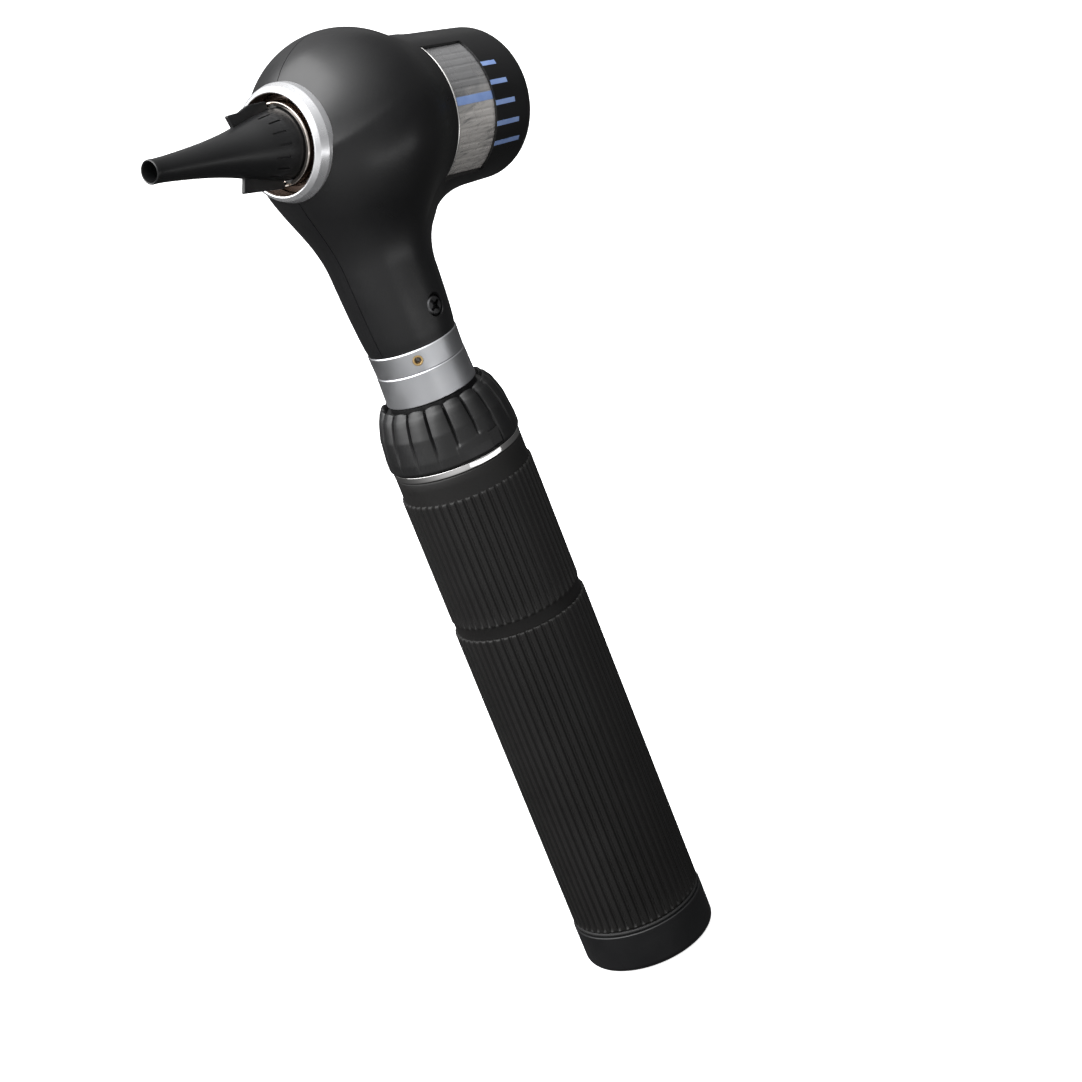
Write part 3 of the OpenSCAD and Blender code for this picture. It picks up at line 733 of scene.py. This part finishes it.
SLIT_HALF_WIDTH, SLIT_DEPTH = 0.2, 0.24
SLIT_FIRST, SLIT_PITCH, SLITS_PER_SIDE = 26, 22, 7      # degrees from the top
SLIT_ENDS = [(17.5, 20.6), (17.2, 20.0)]                # alternating, along the axis


def radial_plane(angle):
    """A pose whose X points outwards at the angle and whose Y is the optical axis."""
    return OPTIC @ rotate("z", angle) @ rotate("x", 90)


def build_speculum():
    speculum = lathe("speculum_body", SPECULUM_OUTER + SPECULUM_INNER, OPTIC, 160)
    for angle, outline in ((0, TOP_FIN), (180, BOTTOM_FIN)):
        boolean(speculum, prism("cut", outline, -FIN_HALF_THICKNESS, FIN_HALF_THICKNESS,
                                radial_plane(angle), bevel=0.13), "UNION")
    for angle in (0, 180):      # keys that lie in the lock ring's notches
        boolean(speculum, prism("cut", rectangle(6.85, 7.84, -1.08, 1.08), 12.1, 13.6,
                                OPTIC @ rotate("z", angle), bevel=0.1), "UNION")
    # slits cut into the flare
    angles = [side * (SLIT_FIRST + SLIT_PITCH * i) for side in (-1, 1)
              for i in range(SLITS_PER_SIDE)]
    for k, angle in enumerate(angles):
        back, front = SLIT_ENDS[k % 2]
        back_radius = float(interpolate(SPECULUM_OUTER[::-1], back))
        front_radius = float(interpolate(SPECULUM_OUTER[::-1], front))
        outline = [(back_radius - SLIT_DEPTH, back), (back_radius + 0.8, back + 0.2),
                   (front_radius + 0.8, front + 0.2), (front_radius - SLIT_DEPTH, front)]
        boolean(speculum, prism("cut", outline, -SLIT_HALF_WIDTH, SLIT_HALF_WIDTH,
                                radial_plane(angle)))
    tidy(speculum, 30)
    dress(speculum, "speculum", "speculum", "black_plastic", "speculum_plastic")


build_front_rings()
build_speculum()

# ------------------------------------------------------------------ focus wheel and scale
WHEEL_BORE, WHEEL_RADIUS = 12.92, 15.53
WHEEL_BACK, WHEEL_FRONT = -33, -20.92
TEETH, TOOTH_DEPTH = 60, 0.08
INDEX_ANGLE = 87.0              # degrees from the top towards -Y
INDEX_WIDTH, INDEX_SLOT_WIDTH = 6.24, 6.3
RIM_MIDDLE, RIM_EDGE = -20.64, 0.26     # place along the axis, radius of the rounded edge
MARK_FIRST, MARK_PITCH, MARK_WIDTH = 63.5, 15, 3.6      # degrees from the top
MARK_START = -32.5
MARK_ENDS = [-36.9, -37.75, -38.7, -39.7, -40.6]


def tooth_shape(turn, radius, height):
    phase = (turn * TEETH / (2 * math.pi)) % 1.0
    groove = np.clip((np.abs(phase - 0.5) - 0.30) / 0.10, 0, 1)     # 1 between two teeth
    outer = (radius > 15.2) & (height < -20.85)
    fade = np.clip(np.minimum(height + 32.95, -20.9 - height) / 0.3, 0, 1)
    uneven = np.sin(turn * TEETH * 0.37 + 1.1) * np.cos(turn * TEETH * 0.113)
    strength = fade * np.clip(0.75 + 0.45 * uneven, 0.25, 1)
    return np.where(outer, radius - TOOTH_DEPTH * groove * strength, radius), height


def build_wheel():
    heights = [-32.5, -32.1, *np.linspace(-31.5, -22.4, 8), -21.6, -21.1, WHEEL_FRONT]
    profile = [(WHEEL_BORE, WHEEL_BACK), (15.25, WHEEL_BACK), (15.5, -32.8)]
    profile += [(WHEEL_RADIUS, z) for z in heights] + [(WHEEL_BORE, WHEEL_FRONT)]
    wheel = lathe("focus_wheel_body", profile, OPTIC, 720, modulate=tooth_shape)
    boolean(wheel, sector("cut", rectangle(15.3, 16.5, -34, -20.84), OPTIC,
                          INDEX_ANGLE, INDEX_SLOT_WIDTH, 16))
    tidy(wheel)
    dress(wheel, "focus_wheel", "focus_wheel", "wheel_aluminium")

    edge = [(16.0 + RIM_EDGE * math.cos(a), RIM_MIDDLE - RIM_EDGE * math.sin(a))
            for a in np.radians(np.linspace(85, -85, 14))]
    profile = ([(WHEEL_BORE, -20.9), (15.96, -20.9)] + edge
               + [(15.96, -20.38), (WHEEL_BORE, -20.38)])
    rim = lathe("focus_wheel_rim", profile, OPTIC, 256)
    dress(rim, "focus_wheel", "focus_wheel", "wheel_aluminium", "rim_metal", weighted=False)

    outline = [(15.31, -32.95), (15.5, -32.95), (15.53, -32.8), (15.53, -21.0),
               (15.5, -20.86), (15.31, -20.86)]
    index = sector("wheel_index_body", rounded([(*point, 0.03) for point in outline], 2),
                   OPTIC, INDEX_ANGLE, INDEX_WIDTH, 16)
    dress(index, "focus_wheel", "wheel_index", "blue_inlay", weighted=False)


def build_scale_marks():
    """Five thin strips on the barrel behind the window, each longer than the last."""
    marks = []
    for i, end in enumerate(MARK_ENDS):
        places = np.linspace(MARK_START, end, 12)
        top = [(float(interpolate(BARREL, z)) + 0.05, float(z)) for z in places]
        bottom = [(float(interpolate(BARREL, z)) - 0.3, float(z)) for z in places[::-1]]
        marks.append(sector("mark", (top + bottom)[::-1], OPTIC,
                            MARK_FIRST + MARK_PITCH * i, MARK_WIDTH, 6))
    marks = join(marks, "scale_marks_body")
    tidy(marks)
    dress(marks, "head", "scale_marks", "blue_inlay", weighted=False)


def build_eyepiece_and_port():
    eyepiece = turned("eyepiece_ring_body",
                      [(9.32, -43.5, 0), (10.97, -43.5, 0), (10.97, -46.3, 0.4),
                       (10.6, -47.0, 0.5), (9.75, -47.0, 0.5), (9.32, -45.7, 0.4)],
                      6, OPTIC, 160)
    dress(eyepiece, "head", "eyepiece_ring", "black_rubber")
    port = turned("insufflation_port_body",
                  [(1.0, 16.6, 0), (2.58, 16.6, 0.1), (2.58, 20.1, 0.05), (2.5, 20.2, 0.05),
                   (2.5, 21.3, 0.1), (2.0, 21.35, 0.05), (2.0, 25.1, 0.3),
                   (1.6, 26.2, 0.2), (1.0, 26.3, 0.1)], 4, PORT, 72)
    dress(port, "head", "insufflation_port", "chrome")


build_wheel()
build_scale_marks()
build_eyepiece_and_port()

# ------------------------------------------------------------------ neck
# Profile rows are (radius, height, corner radius); the screw's heights run outwards.
NECK_RING = [(6.02, 141.5, 0), (9.3, 141.5, 0.02), (9.42, 141.62, 0.04), (9.57, 145.96, 0.04),
             (9.4, 146.19, 0.03), (8.2, NECK_FOOT, 0), (8.2, 157.5, 0.2), (6.02, 157.5, 0.1)]
SET_SCREW = [(0, 6.1, 0), (0.95, 6.1, 0.05), (0.95, 9.1, 0), (1.1, 9.34, 0.02),
             (1.06, 9.46, 0.03), (0.74, 9.44, 0.06), (0.64, 9.2, 0.05), (0.6, 7.6, 0.05),
             (0, 7.5, 0)]
# a dark steel plug inside the brass screw's hex socket: painted shade for the dark hole
SET_SCREW_SOCKET_SHADE = [(0, 7.52, 0), (0.59, 7.52, 0), (0.61, 8.7, 0.02), (0.5, 8.72, 0.03),
                    (0.4, 8.3, 0.05), (0, 8.2, 0)]
SET_SCREW_SEAT = [(0, 5), (0.98, 5), (0.98, 9.05), (1.12, 9.3), (1.12, 11), (0, 11)]
SET_SCREW_POSE = rotate("z", -137.3) @ move(0, 0, 144.05) @ rotate("y", 90)
SKIRT = [(8.6, 134.92, 0.05), (9.5, 134.92, 0.08), (9.66, 135.06, 0.12), (9.6, 137.3, 3),
         (9.54, 139.5, 3), (9.48, 141.22, 0.04), (9.34, 141.45, 0.03), (6.06, 141.48, 0),
         (6.06, 140.2, 0), (8.6, 140.2, 0)]
LUG_WIDTH = 36                  # degrees


def build_neck():
    ring = turned("neck_ring_body", NECK_RING, 3, HANDLE, 224)
    boolean(ring, lathe("cut", SET_SCREW_SEAT, SET_SCREW_POSE, 48))
    tidy(ring)
    dress(ring, "head", "neck_ring", "satin_aluminium")
    screw = turned("ring_set_screw_body", SET_SCREW, 3, SET_SCREW_POSE, 48)
    tidy(screw)
    dress(screw, "head", "ring_set_screw", "brass", weighted=False)
    # the dark plug in the socket is painted shade
    socket = turned("ring_set_screw_socket_shade", SET_SCREW_SOCKET_SHADE, 3, SET_SCREW_POSE, 24)
    tidy(socket)
    dress(socket, "head", "ring_set_screw", "screw_steel", weighted=False)
    skirt = turned("bayonet_skirt_body", SKIRT, 4, HANDLE, 192)
    for angle in (60, 180, 300):
        boolean(skirt, sector("cut", rectangle(7.5, 8.8, 135.6, 137.6), HANDLE,
                              angle, LUG_WIDTH, 12), "UNION")
    tidy(skirt)
    dress(skirt, "head", "bayonet_skirt", "satin_aluminium")


build_neck()

# ------------------------------------------------------------------ rheostat collar
FLUTES = 18
PAD_START, PAD_END = -134.0, -99.5      # span of the smooth pad, degrees about +Z
# (radius, height) of the fluted side
COLLAR_SIDE = [(14.02, 121.75), (14.2, 122.2), (14.18, 124.2), (14.0, 125.8), (13.65, 129),
               (13.07, 131), (12.65, 132.3), (12.3, 133.1), (12.02, 133.45), (11.45, 134.1),
               (11.0, 134.6), (10.9, 134.8)]
COLLAR_TOP = [(11.88, 133.7), (11.68, 134.0), (11.48, 134.3), (11.3, 134.5), (11.1, 134.6),
              (10.9, 134.52), (10.7, 134.2), (10.5, 133.7), (10.35, 133.3), (9.5, 133.2),
              (9.35, 133.3), (9.3, 134.7), (9.2, 134.8)]
COLLAR_INNER = [(7.52, 134.8), (7.52, 122.6), (8.2, 122.6), (8.2, 131), (11.0, 131),
                (12.3, 129.4), (12.3, 121.75)]
# (groove depth, height)
FLUTE_DEPTH = [(0, 122.1), (0.08, 123.2), (0.28, 125), (0.55, 127), (0.85, 129), (1.12, 131),
               (1.30, 132.5), (1.40, 133.5)]
TIP_RADIUS, TIP_HEIGHT = 10.42, 133.46  # the raised lip lies beyond both
BUTTON_HALF_WIDTH, BUTTON_GAP = 1.46, 0.1
BUTTON_LOW, BUTTON_HIGH = 122.22, 125.68
BUTTON_TURN = rotate("z", -97.5)
# local X runs round the collar, Y up and Z outwards
BUTTON_POSE = BUTTON_TURN @ np.array([[0, 0, 1, 0], [1, 0, 0, 0], [0, 1, 0, 0], [0, 0, 0, 1]],
                                     float)


def collar_shape(turn, radius, height):
    """Flutes the side and the lip, and leaves the pad smooth and slightly raised."""
    degrees = np.degrees(turn)
    phase = ((degrees + 171.0) * FLUTES / 360.0) % 1.0
    across = np.abs(2 * phase - 1)                  # 1 at the grooves, 0 on the ridge
    groove = 0.42 * across ** 2 + 0.58 * np.clip((across - 0.84) / 0.16, 0, 1)
    depth = interpolate(FLUTE_DEPTH, height)
    into = (degrees - PAD_START + 180) % 360 - 180
    span = PAD_END - PAD_START
    pad = (np.clip(np.minimum(into, span - into) / 1.6 + 0.5, 0, 1)
           * np.clip((125.9 + 0.03 * into - height) / 0.7, 0, 1))
    pad = pad * pad * (3 - 2 * pad)
    fluted = (radius - depth * groove * (1 - pad)
              + 0.07 * pad * np.clip((height - 121.9) / 0.3, 0, 1))
    tip = (height > TIP_HEIGHT) & (radius > TIP_RADIUS)
    side = (radius > np.interp(height, [121, 131.2, 131.3], [12.6, 12.6, 11.3])) & ~tip
    # in the grooves the lip shrinks almost to a point
    g = np.clip(groove * 1.15, 0, 1)
    tip_radius = radius * (1 - g) + (TIP_RADIUS + (radius - TIP_RADIUS) * 0.12) * g
    tip_height = height * (1 - g) + (133.40 + (height - TIP_HEIGHT) * 0.05) * g
    return (np.where(tip, tip_radius, np.where(side, fluted, radius)),
            np.where(tip, tip_height, height))


def build_collar():
    side = [(float(interpolate(COLLAR_SIDE, z)), float(z))
            for z in np.linspace(122.0, 133.42, 44)]
    profile = [(13.8, 121.75), (13.98, 121.8)] + side + COLLAR_TOP + COLLAR_INNER
    collar = lathe("rheostat_collar_body", profile, HANDLE, 1080, modulate=collar_shape,
                   sharp=38)
    half_opening = BUTTON_HALF_WIDTH + BUTTON_GAP
    boolean(collar, prism("cut", rectangle(10.9, 17, -half_opening, half_opening),
                          BUTTON_LOW - BUTTON_GAP, BUTTON_HIGH + BUTTON_GAP, BUTTON_TURN))
    tidy(collar, 38)
    dress(collar, "collar", "rheostat_collar", "black_collar")


def build_lock_button():
    """A raised key on a wider flange behind the collar's opening."""
    face = rectangle(-BUTTON_HALF_WIDTH, BUTTON_HALF_WIDTH, BUTTON_LOW, BUTTON_HIGH)
    button = prism("lock_button_body", face, 11.5, 13.95, BUTTON_POSE, bevel=0.12)
    boolean(button, prism("cut", rectangle(-1.9, 1.9, 121.95, 125.95), 10.7, 11.7,
                          BUTTON_POSE, bevel=0.1), "UNION")
    tidy(button)
    dress(button, "lock", "lock_button", "black_collar")


def build_chrome_ring():
    ring = turned("chrome_ring_body",
                  [(12.9, 120.1, 0), (13.55, 120.1, 0.1), (13.78, 120.28, 0.15),
                   (13.78, 121.45, 0.15), (13.55, 121.65, 0.1), (12.9, 121.65, 0)],
                  5, HANDLE, 192)
    dress(ring, "handle", "chrome_ring", "chrome")


build_collar()
build_lock_button()
build_chrome_ring()

# ------------------------------------------------------------------ grips and end cap
RIBS = 50
GRIP_BORE, LOWER_RADIUS, UPPER_RADIUS = 13.36, 14.5, 14.2


def ribs(start, depth):
    """Grooves between upright ribs, deepening over the first 0.5 mm above start."""
    def shape(turn, radius, height):
        phase = (turn * RIBS / (2 * math.pi)) % 1.0
        across = np.abs(phase - 0.5) * 2            # 0 on the crest, 1 in the groove
        groove = np.clip((across - 0.42) / 0.40, 0, 1)
        groove = groove * groove * (3 - 2 * groove)
        fade = np.clip((height - start) / 0.5, 0, 1)
        cut = np.maximum(radius - depth * groove * fade, 13.755)
        return np.where(radius > 13.8, cut, radius), height
    return shape


def build_grips():
    heights = [10.85, *np.linspace(11.4, 82.0, 24), 82.6, 83.0, 83.22]
    profile = [(GRIP_BORE, 10.5), (14.1, 10.5), (14.38, 10.56), (14.48, 10.68)]
    profile += [(LOWER_RADIUS, z) for z in heights]
    profile += [(14.42, 83.4), (14.3, 83.5), (GRIP_BORE, 83.5)]
    lower = lathe("grip_lower_body", profile, HANDLE, 1000, modulate=ribs(10.6, 0.45), sharp=50)
    dress(lower, "handle", "grip_lower", "grip_rubber")

    heights = [86.45, *np.linspace(86.8, 113.6, 12), 114.2, 114.55]
    profile = [(GRIP_BORE, 83.55), (13.95, 83.55), (13.98, 83.7), (13.98, 86.0), (14.05, 86.2)]
    profile += [(UPPER_RADIUS, z) for z in heights]
    profile += [(14.13, 114.75), (13.98, 114.88), (13.76, 114.95), (13.75, 115.3),
                (13.74, 118.0), (13.73, 119.7), (13.6, 119.98), (GRIP_BORE, 120.05)]
    upper = lathe("grip_upper_body", profile, HANDLE, 1000, modulate=ribs(86.2, 0.42), sharp=50)
    dress(upper, "handle", "grip_upper", "grip_rubber")


def build_end_cap():
    cap = turned("end_cap_body",
                 [(0, 0, 0), (14.7, 0, 1.5), (14.74, 9.14, 0.05), (14.6, 9.29, 0.05),
                  (12.93, 9.3, 0.05), (12.93, 15.2, 0.3), (11.4, 15.2, 0.1),
                  (11.4, 2.2, 0.3), (0, 2.2, 0)], 9, HANDLE, 224)
    dress(cap, "cap", "end_cap", "black_plastic", "cap_plastic")


build_grips()
build_end_cap()


# ------------------------------------------------------------------ contact spring
def wound_spring(name, radius, wire, low, high, turns, segments=30, around=10):
    """A compression spring about Z with closed ends; wire is the wire's radius."""
    n = int(turns * segments)
    t = np.linspace(0, 1, n + 1)
    angle = 2 * math.pi * turns * t
    lead = 1.0 / turns
    closed = 0.75 * lead                # share of the winding in each closed end
    rise = np.clip((t - closed) / (1 - 1.5 * lead), 0, 1)
    end = 2.2 * wire
    z = (low + wire + end * np.clip(t / closed, 0, 1)
         + (high - low - 2 * wire - 2 * end) * rise
         + end * np.clip((t - 1 + closed) / closed, 0, 1))
    centres = np.stack([radius * np.cos(angle), radius * np.sin(angle), z], 1)
    tangent = np.gradient(centres, axis=0)
    tangent /= np.linalg.norm(tangent, axis=1)[:, None]
    out = np.stack([np.cos(angle), np.sin(angle), 0 * angle], 1)
    up = np.cross(tangent, out)
    q = np.linspace(0, 2 * math.pi, around, endpoint=False)
    points = centres[:, None] + wire * (np.cos(q)[None, :, None] * out[:, None]
                                        + np.sin(q)[None, :, None] * up[:, None])
    faces = [(i * around + j, i * around + (j + 1) % around,
              (i + 1) * around + (j + 1) % around, (i + 1) * around + j)
             for i in range(n) for j in range(around)]
    faces.append(tuple(range(around - 1, -1, -1)))
    faces.append(tuple(n * around + j for j in range(around)))
    return new_object(name, points.reshape(-1, 3), faces, 40)


spring = wound_spring("contact_spring_wire", radius=2.4, wire=0.33, low=121.5, high=134.1,
                      turns=6)
dress(spring, "handle", "contact_spring", "spring_steel", weighted=False)
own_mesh(spring)


# ------------------------------------------------------------------ CAD nodes
def dress_cad_nodes():
    """Materials for every CAD node, and a fine bevel on those that still show."""
    slots = {part["node"]: part["material_slot"] for part in frame["record"]["subparts"]}
    for name, obj in frame["nodes"].items():
        obj.data.materials.clear()
        obj.data.materials.append(MATS.get(slots[name], MATS["black_plastic"]))
        for polygon in obj.data.polygons:
            polygon.use_smooth = True
        if not obj.hide_render:
            bevel = obj.modifiers.new("bevel", "BEVEL")
            bevel.width = 0.00008
            bevel.segments = 2
            bevel.limit_method = "ANGLE"
            bevel.angle_limit = math.radians(40)
            bevel.use_clamp_overlap = True
            bevel.harden_normals = False


dress_cad_nodes()


# ------------------------------------------------------------------ floor (metres from here)
def direction(azimuth, elevation):
    """Unit vector; degrees about +Z from +X, and above the horizon."""
    a, e = math.radians(azimuth), math.radians(elevation)
    return Vector((math.cos(e) * math.cos(a), math.cos(e) * math.sin(a), math.sin(e)))


def floor_material():
    """Near white to the camera; a greyer glow, stronger on one side, for all other rays."""
    mat = Mat("floor", (0.86, 0.86, 0.86), roughness=0.7)
    mat.vary_colour(mat.noise(scale=1.5, detail=2), (0.85, 0.85, 0.855))
    mat.inputs["Emission Color"].default_value = (1, 1, 1, 1)
    mat.inputs["Emission Strength"].default_value = 0.80
    tree = mat.tree
    place = mat.node("ShaderNodeNewGeometry").outputs["Position"]
    distance = vector(tree, "LENGTH", place)
    unit = vector(tree, "NORMALIZE", place, output="Vector")
    bright_side = (math.cos(math.radians(218)), math.sin(math.radians(218)), 0)
    facing = vector(tree, "DOT_PRODUCT", unit, bright_side)
    # the lobe falls off round the floor; 2.2 sets how narrow it is
    narrowed = scalar(tree, "MULTIPLY", scalar(tree, "SUBTRACT", facing, 1.0), 2.2)
    lobe = scalar(tree, "EXPONENT", narrowed, 0.0)
    near = mat.remap(distance, source=(0.14, 0.36), target=(0.06, 1.0))
    far = mat.remap(distance, source=(0.7, 1.6), target=(1.0, 0.3))
    # peak strength 0.66 over a base of 0.045
    glow = scalar(tree, "MULTIPLY", scalar(tree, "MULTIPLY", lobe, near),
                  scalar(tree, "MULTIPLY", far, 0.66))
    grey = mat.node("ShaderNodeEmission")
    mat.link(scalar(tree, "ADD", glow, 0.045), grey.inputs["Strength"])
    path = mat.node("ShaderNodeLightPath")
    mix = mat.node("ShaderNodeMixShader")
    mat.link(path.outputs["Is Camera Ray"], mix.inputs[0])
    mat.link(grey.outputs[0], mix.inputs[1])
    mat.link(mat.shader.outputs[0], mix.inputs[2])
    mat.link(mix.outputs[0], mat.output.inputs[0])
    return mat.material


def build_floor():
    half, height = 30, -0.0002
    mesh = bpy.data.meshes.new("floor")
    mesh.from_pydata([(x, y, height) for x, y in rectangle(-half, half, -half, half)],
                     [], [(0, 1, 2, 3)])
    floor = link_object("floor", mesh)
    mesh.materials.append(floor_material())


build_floor()

# ------------------------------------------------------------------ camera
# rows: the camera's right, down and forward directions, made exactly square below
CAMERA_AXES = np.array([[0.5586, -0.7544, -0.3448],
                        [-0.4808, 0.0443, -0.8757],
                        [0.6759, 0.6549, -0.3379]])
CAMERA_PLACE = np.array([-360.86, -362.79, 279.25])     # mm
SENSOR_WIDTH, FOCAL_LENGTH = 36, 86.5064695             # mm


def build_camera():
    data = bpy.data.cameras.new("camera")
    data.sensor_width = SENSOR_WIDTH
    data.lens = FOCAL_LENGTH
    data.clip_start, data.clip_end = 0.01, 100
    camera = link_object("camera", data)
    u, _, vt = np.linalg.svd(CAMERA_AXES)
    right, down, forward = u @ vt
    pose = np.eye(4)
    pose[:3, :3] = np.stack([right, -down, -forward], 1)
    pose[:3, 3] = CAMERA_PLACE * MM
    camera.matrix_world = Matrix(pose.tolist())
    bpy.context.scene.camera = camera


build_camera()

# ------------------------------------------------------------------ lights
HEAD_CENTRE = Vector((0, 0, 0.185))
MIDDLE = Vector((0, 0, 0.12))


def area_light(name, place, target, size, radiance):
    light = bpy.data.lights.new(name, "AREA")
    light.shape = "RECTANGLE"
    light.size, light.size_y = size
    light.energy = radiance * math.pi * size[0] * size[1]
    light.color = (1, 1, 1)
    obj = link_object(name, light)
    obj.location = place
    obj.visible_camera = False
    obj.rotation_euler = (target - place).to_track_quat("-Z", "Y").to_euler()


def panel(name, towards, distance, size, radiance, target):
    """An area light at a distance from its target, in a given direction."""
    place = target + towards.normalized() * distance
    area_light(name, place, target, size, radiance)


panel("key", direction(150, 50), distance=0.72, size=(1.22, 1.26), radiance=2.7,
      target=HEAD_CENTRE)
panel("key_low", direction(166, 5), distance=0.70, size=(1.02, 0.26), radiance=0.8,
      target=HEAD_CENTRE)
area_light("right_card", place=direction(269, 0) * 0.30 + Vector((0, 0, 0.020)),
           target=Vector((0, 0, 0.125)), size=(0.37, 0.05), radiance=1.7)
panel("back", Vector((0.62, 0.55, 0.56)), distance=0.8, size=(0.5, 0.5), radiance=0.15,
      target=MIDDLE)

# ------------------------------------------------------------------ world
# soft lobes of light: (azimuth, elevation, narrowness, strength)
SKY_LOBES = [(185, 68, 4.2, 4.0), (225, -5, 2.4, 0.30)]
SKY_BASE = 0.10


def build_world():
    """Plain white to the camera, and soft lobes over a dim base for all other rays."""
    world = bpy.data.worlds.new("world")
    bpy.context.scene.world = world
    world.use_nodes = True
    tree = world.node_tree
    background = tree.nodes["Background"]
    background.inputs[0].default_value = (1, 1, 1, 1)
    look = tree.nodes.new("ShaderNodeTexCoord").outputs["Generated"]
    total = SKY_BASE
    for azimuth, elevation, narrowness, strength in SKY_LOBES:
        facing = vector(tree, "DOT_PRODUCT", look, direction(azimuth, elevation))
        away = scalar(tree, "SUBTRACT", facing, 1.0)
        lobe = scalar(tree, "EXPONENT", scalar(tree, "MULTIPLY", away, narrowness), 0.0)
        total = scalar(tree, "ADD", scalar(tree, "MULTIPLY", lobe, strength), total)
    path = tree.nodes.new("ShaderNodeLightPath")
    mix = tree.nodes.new("ShaderNodeMix")
    mix.inputs["B"].default_value = 1.0
    tree.links.new(path.outputs["Is Camera Ray"], mix.inputs["Factor"])
    tree.links.new(total, mix.inputs["A"])
    tree.links.new(mix.outputs["Result"], background.inputs[1])


build_world()
bpy.context.scene.view_settings.view_transform = "Standard"
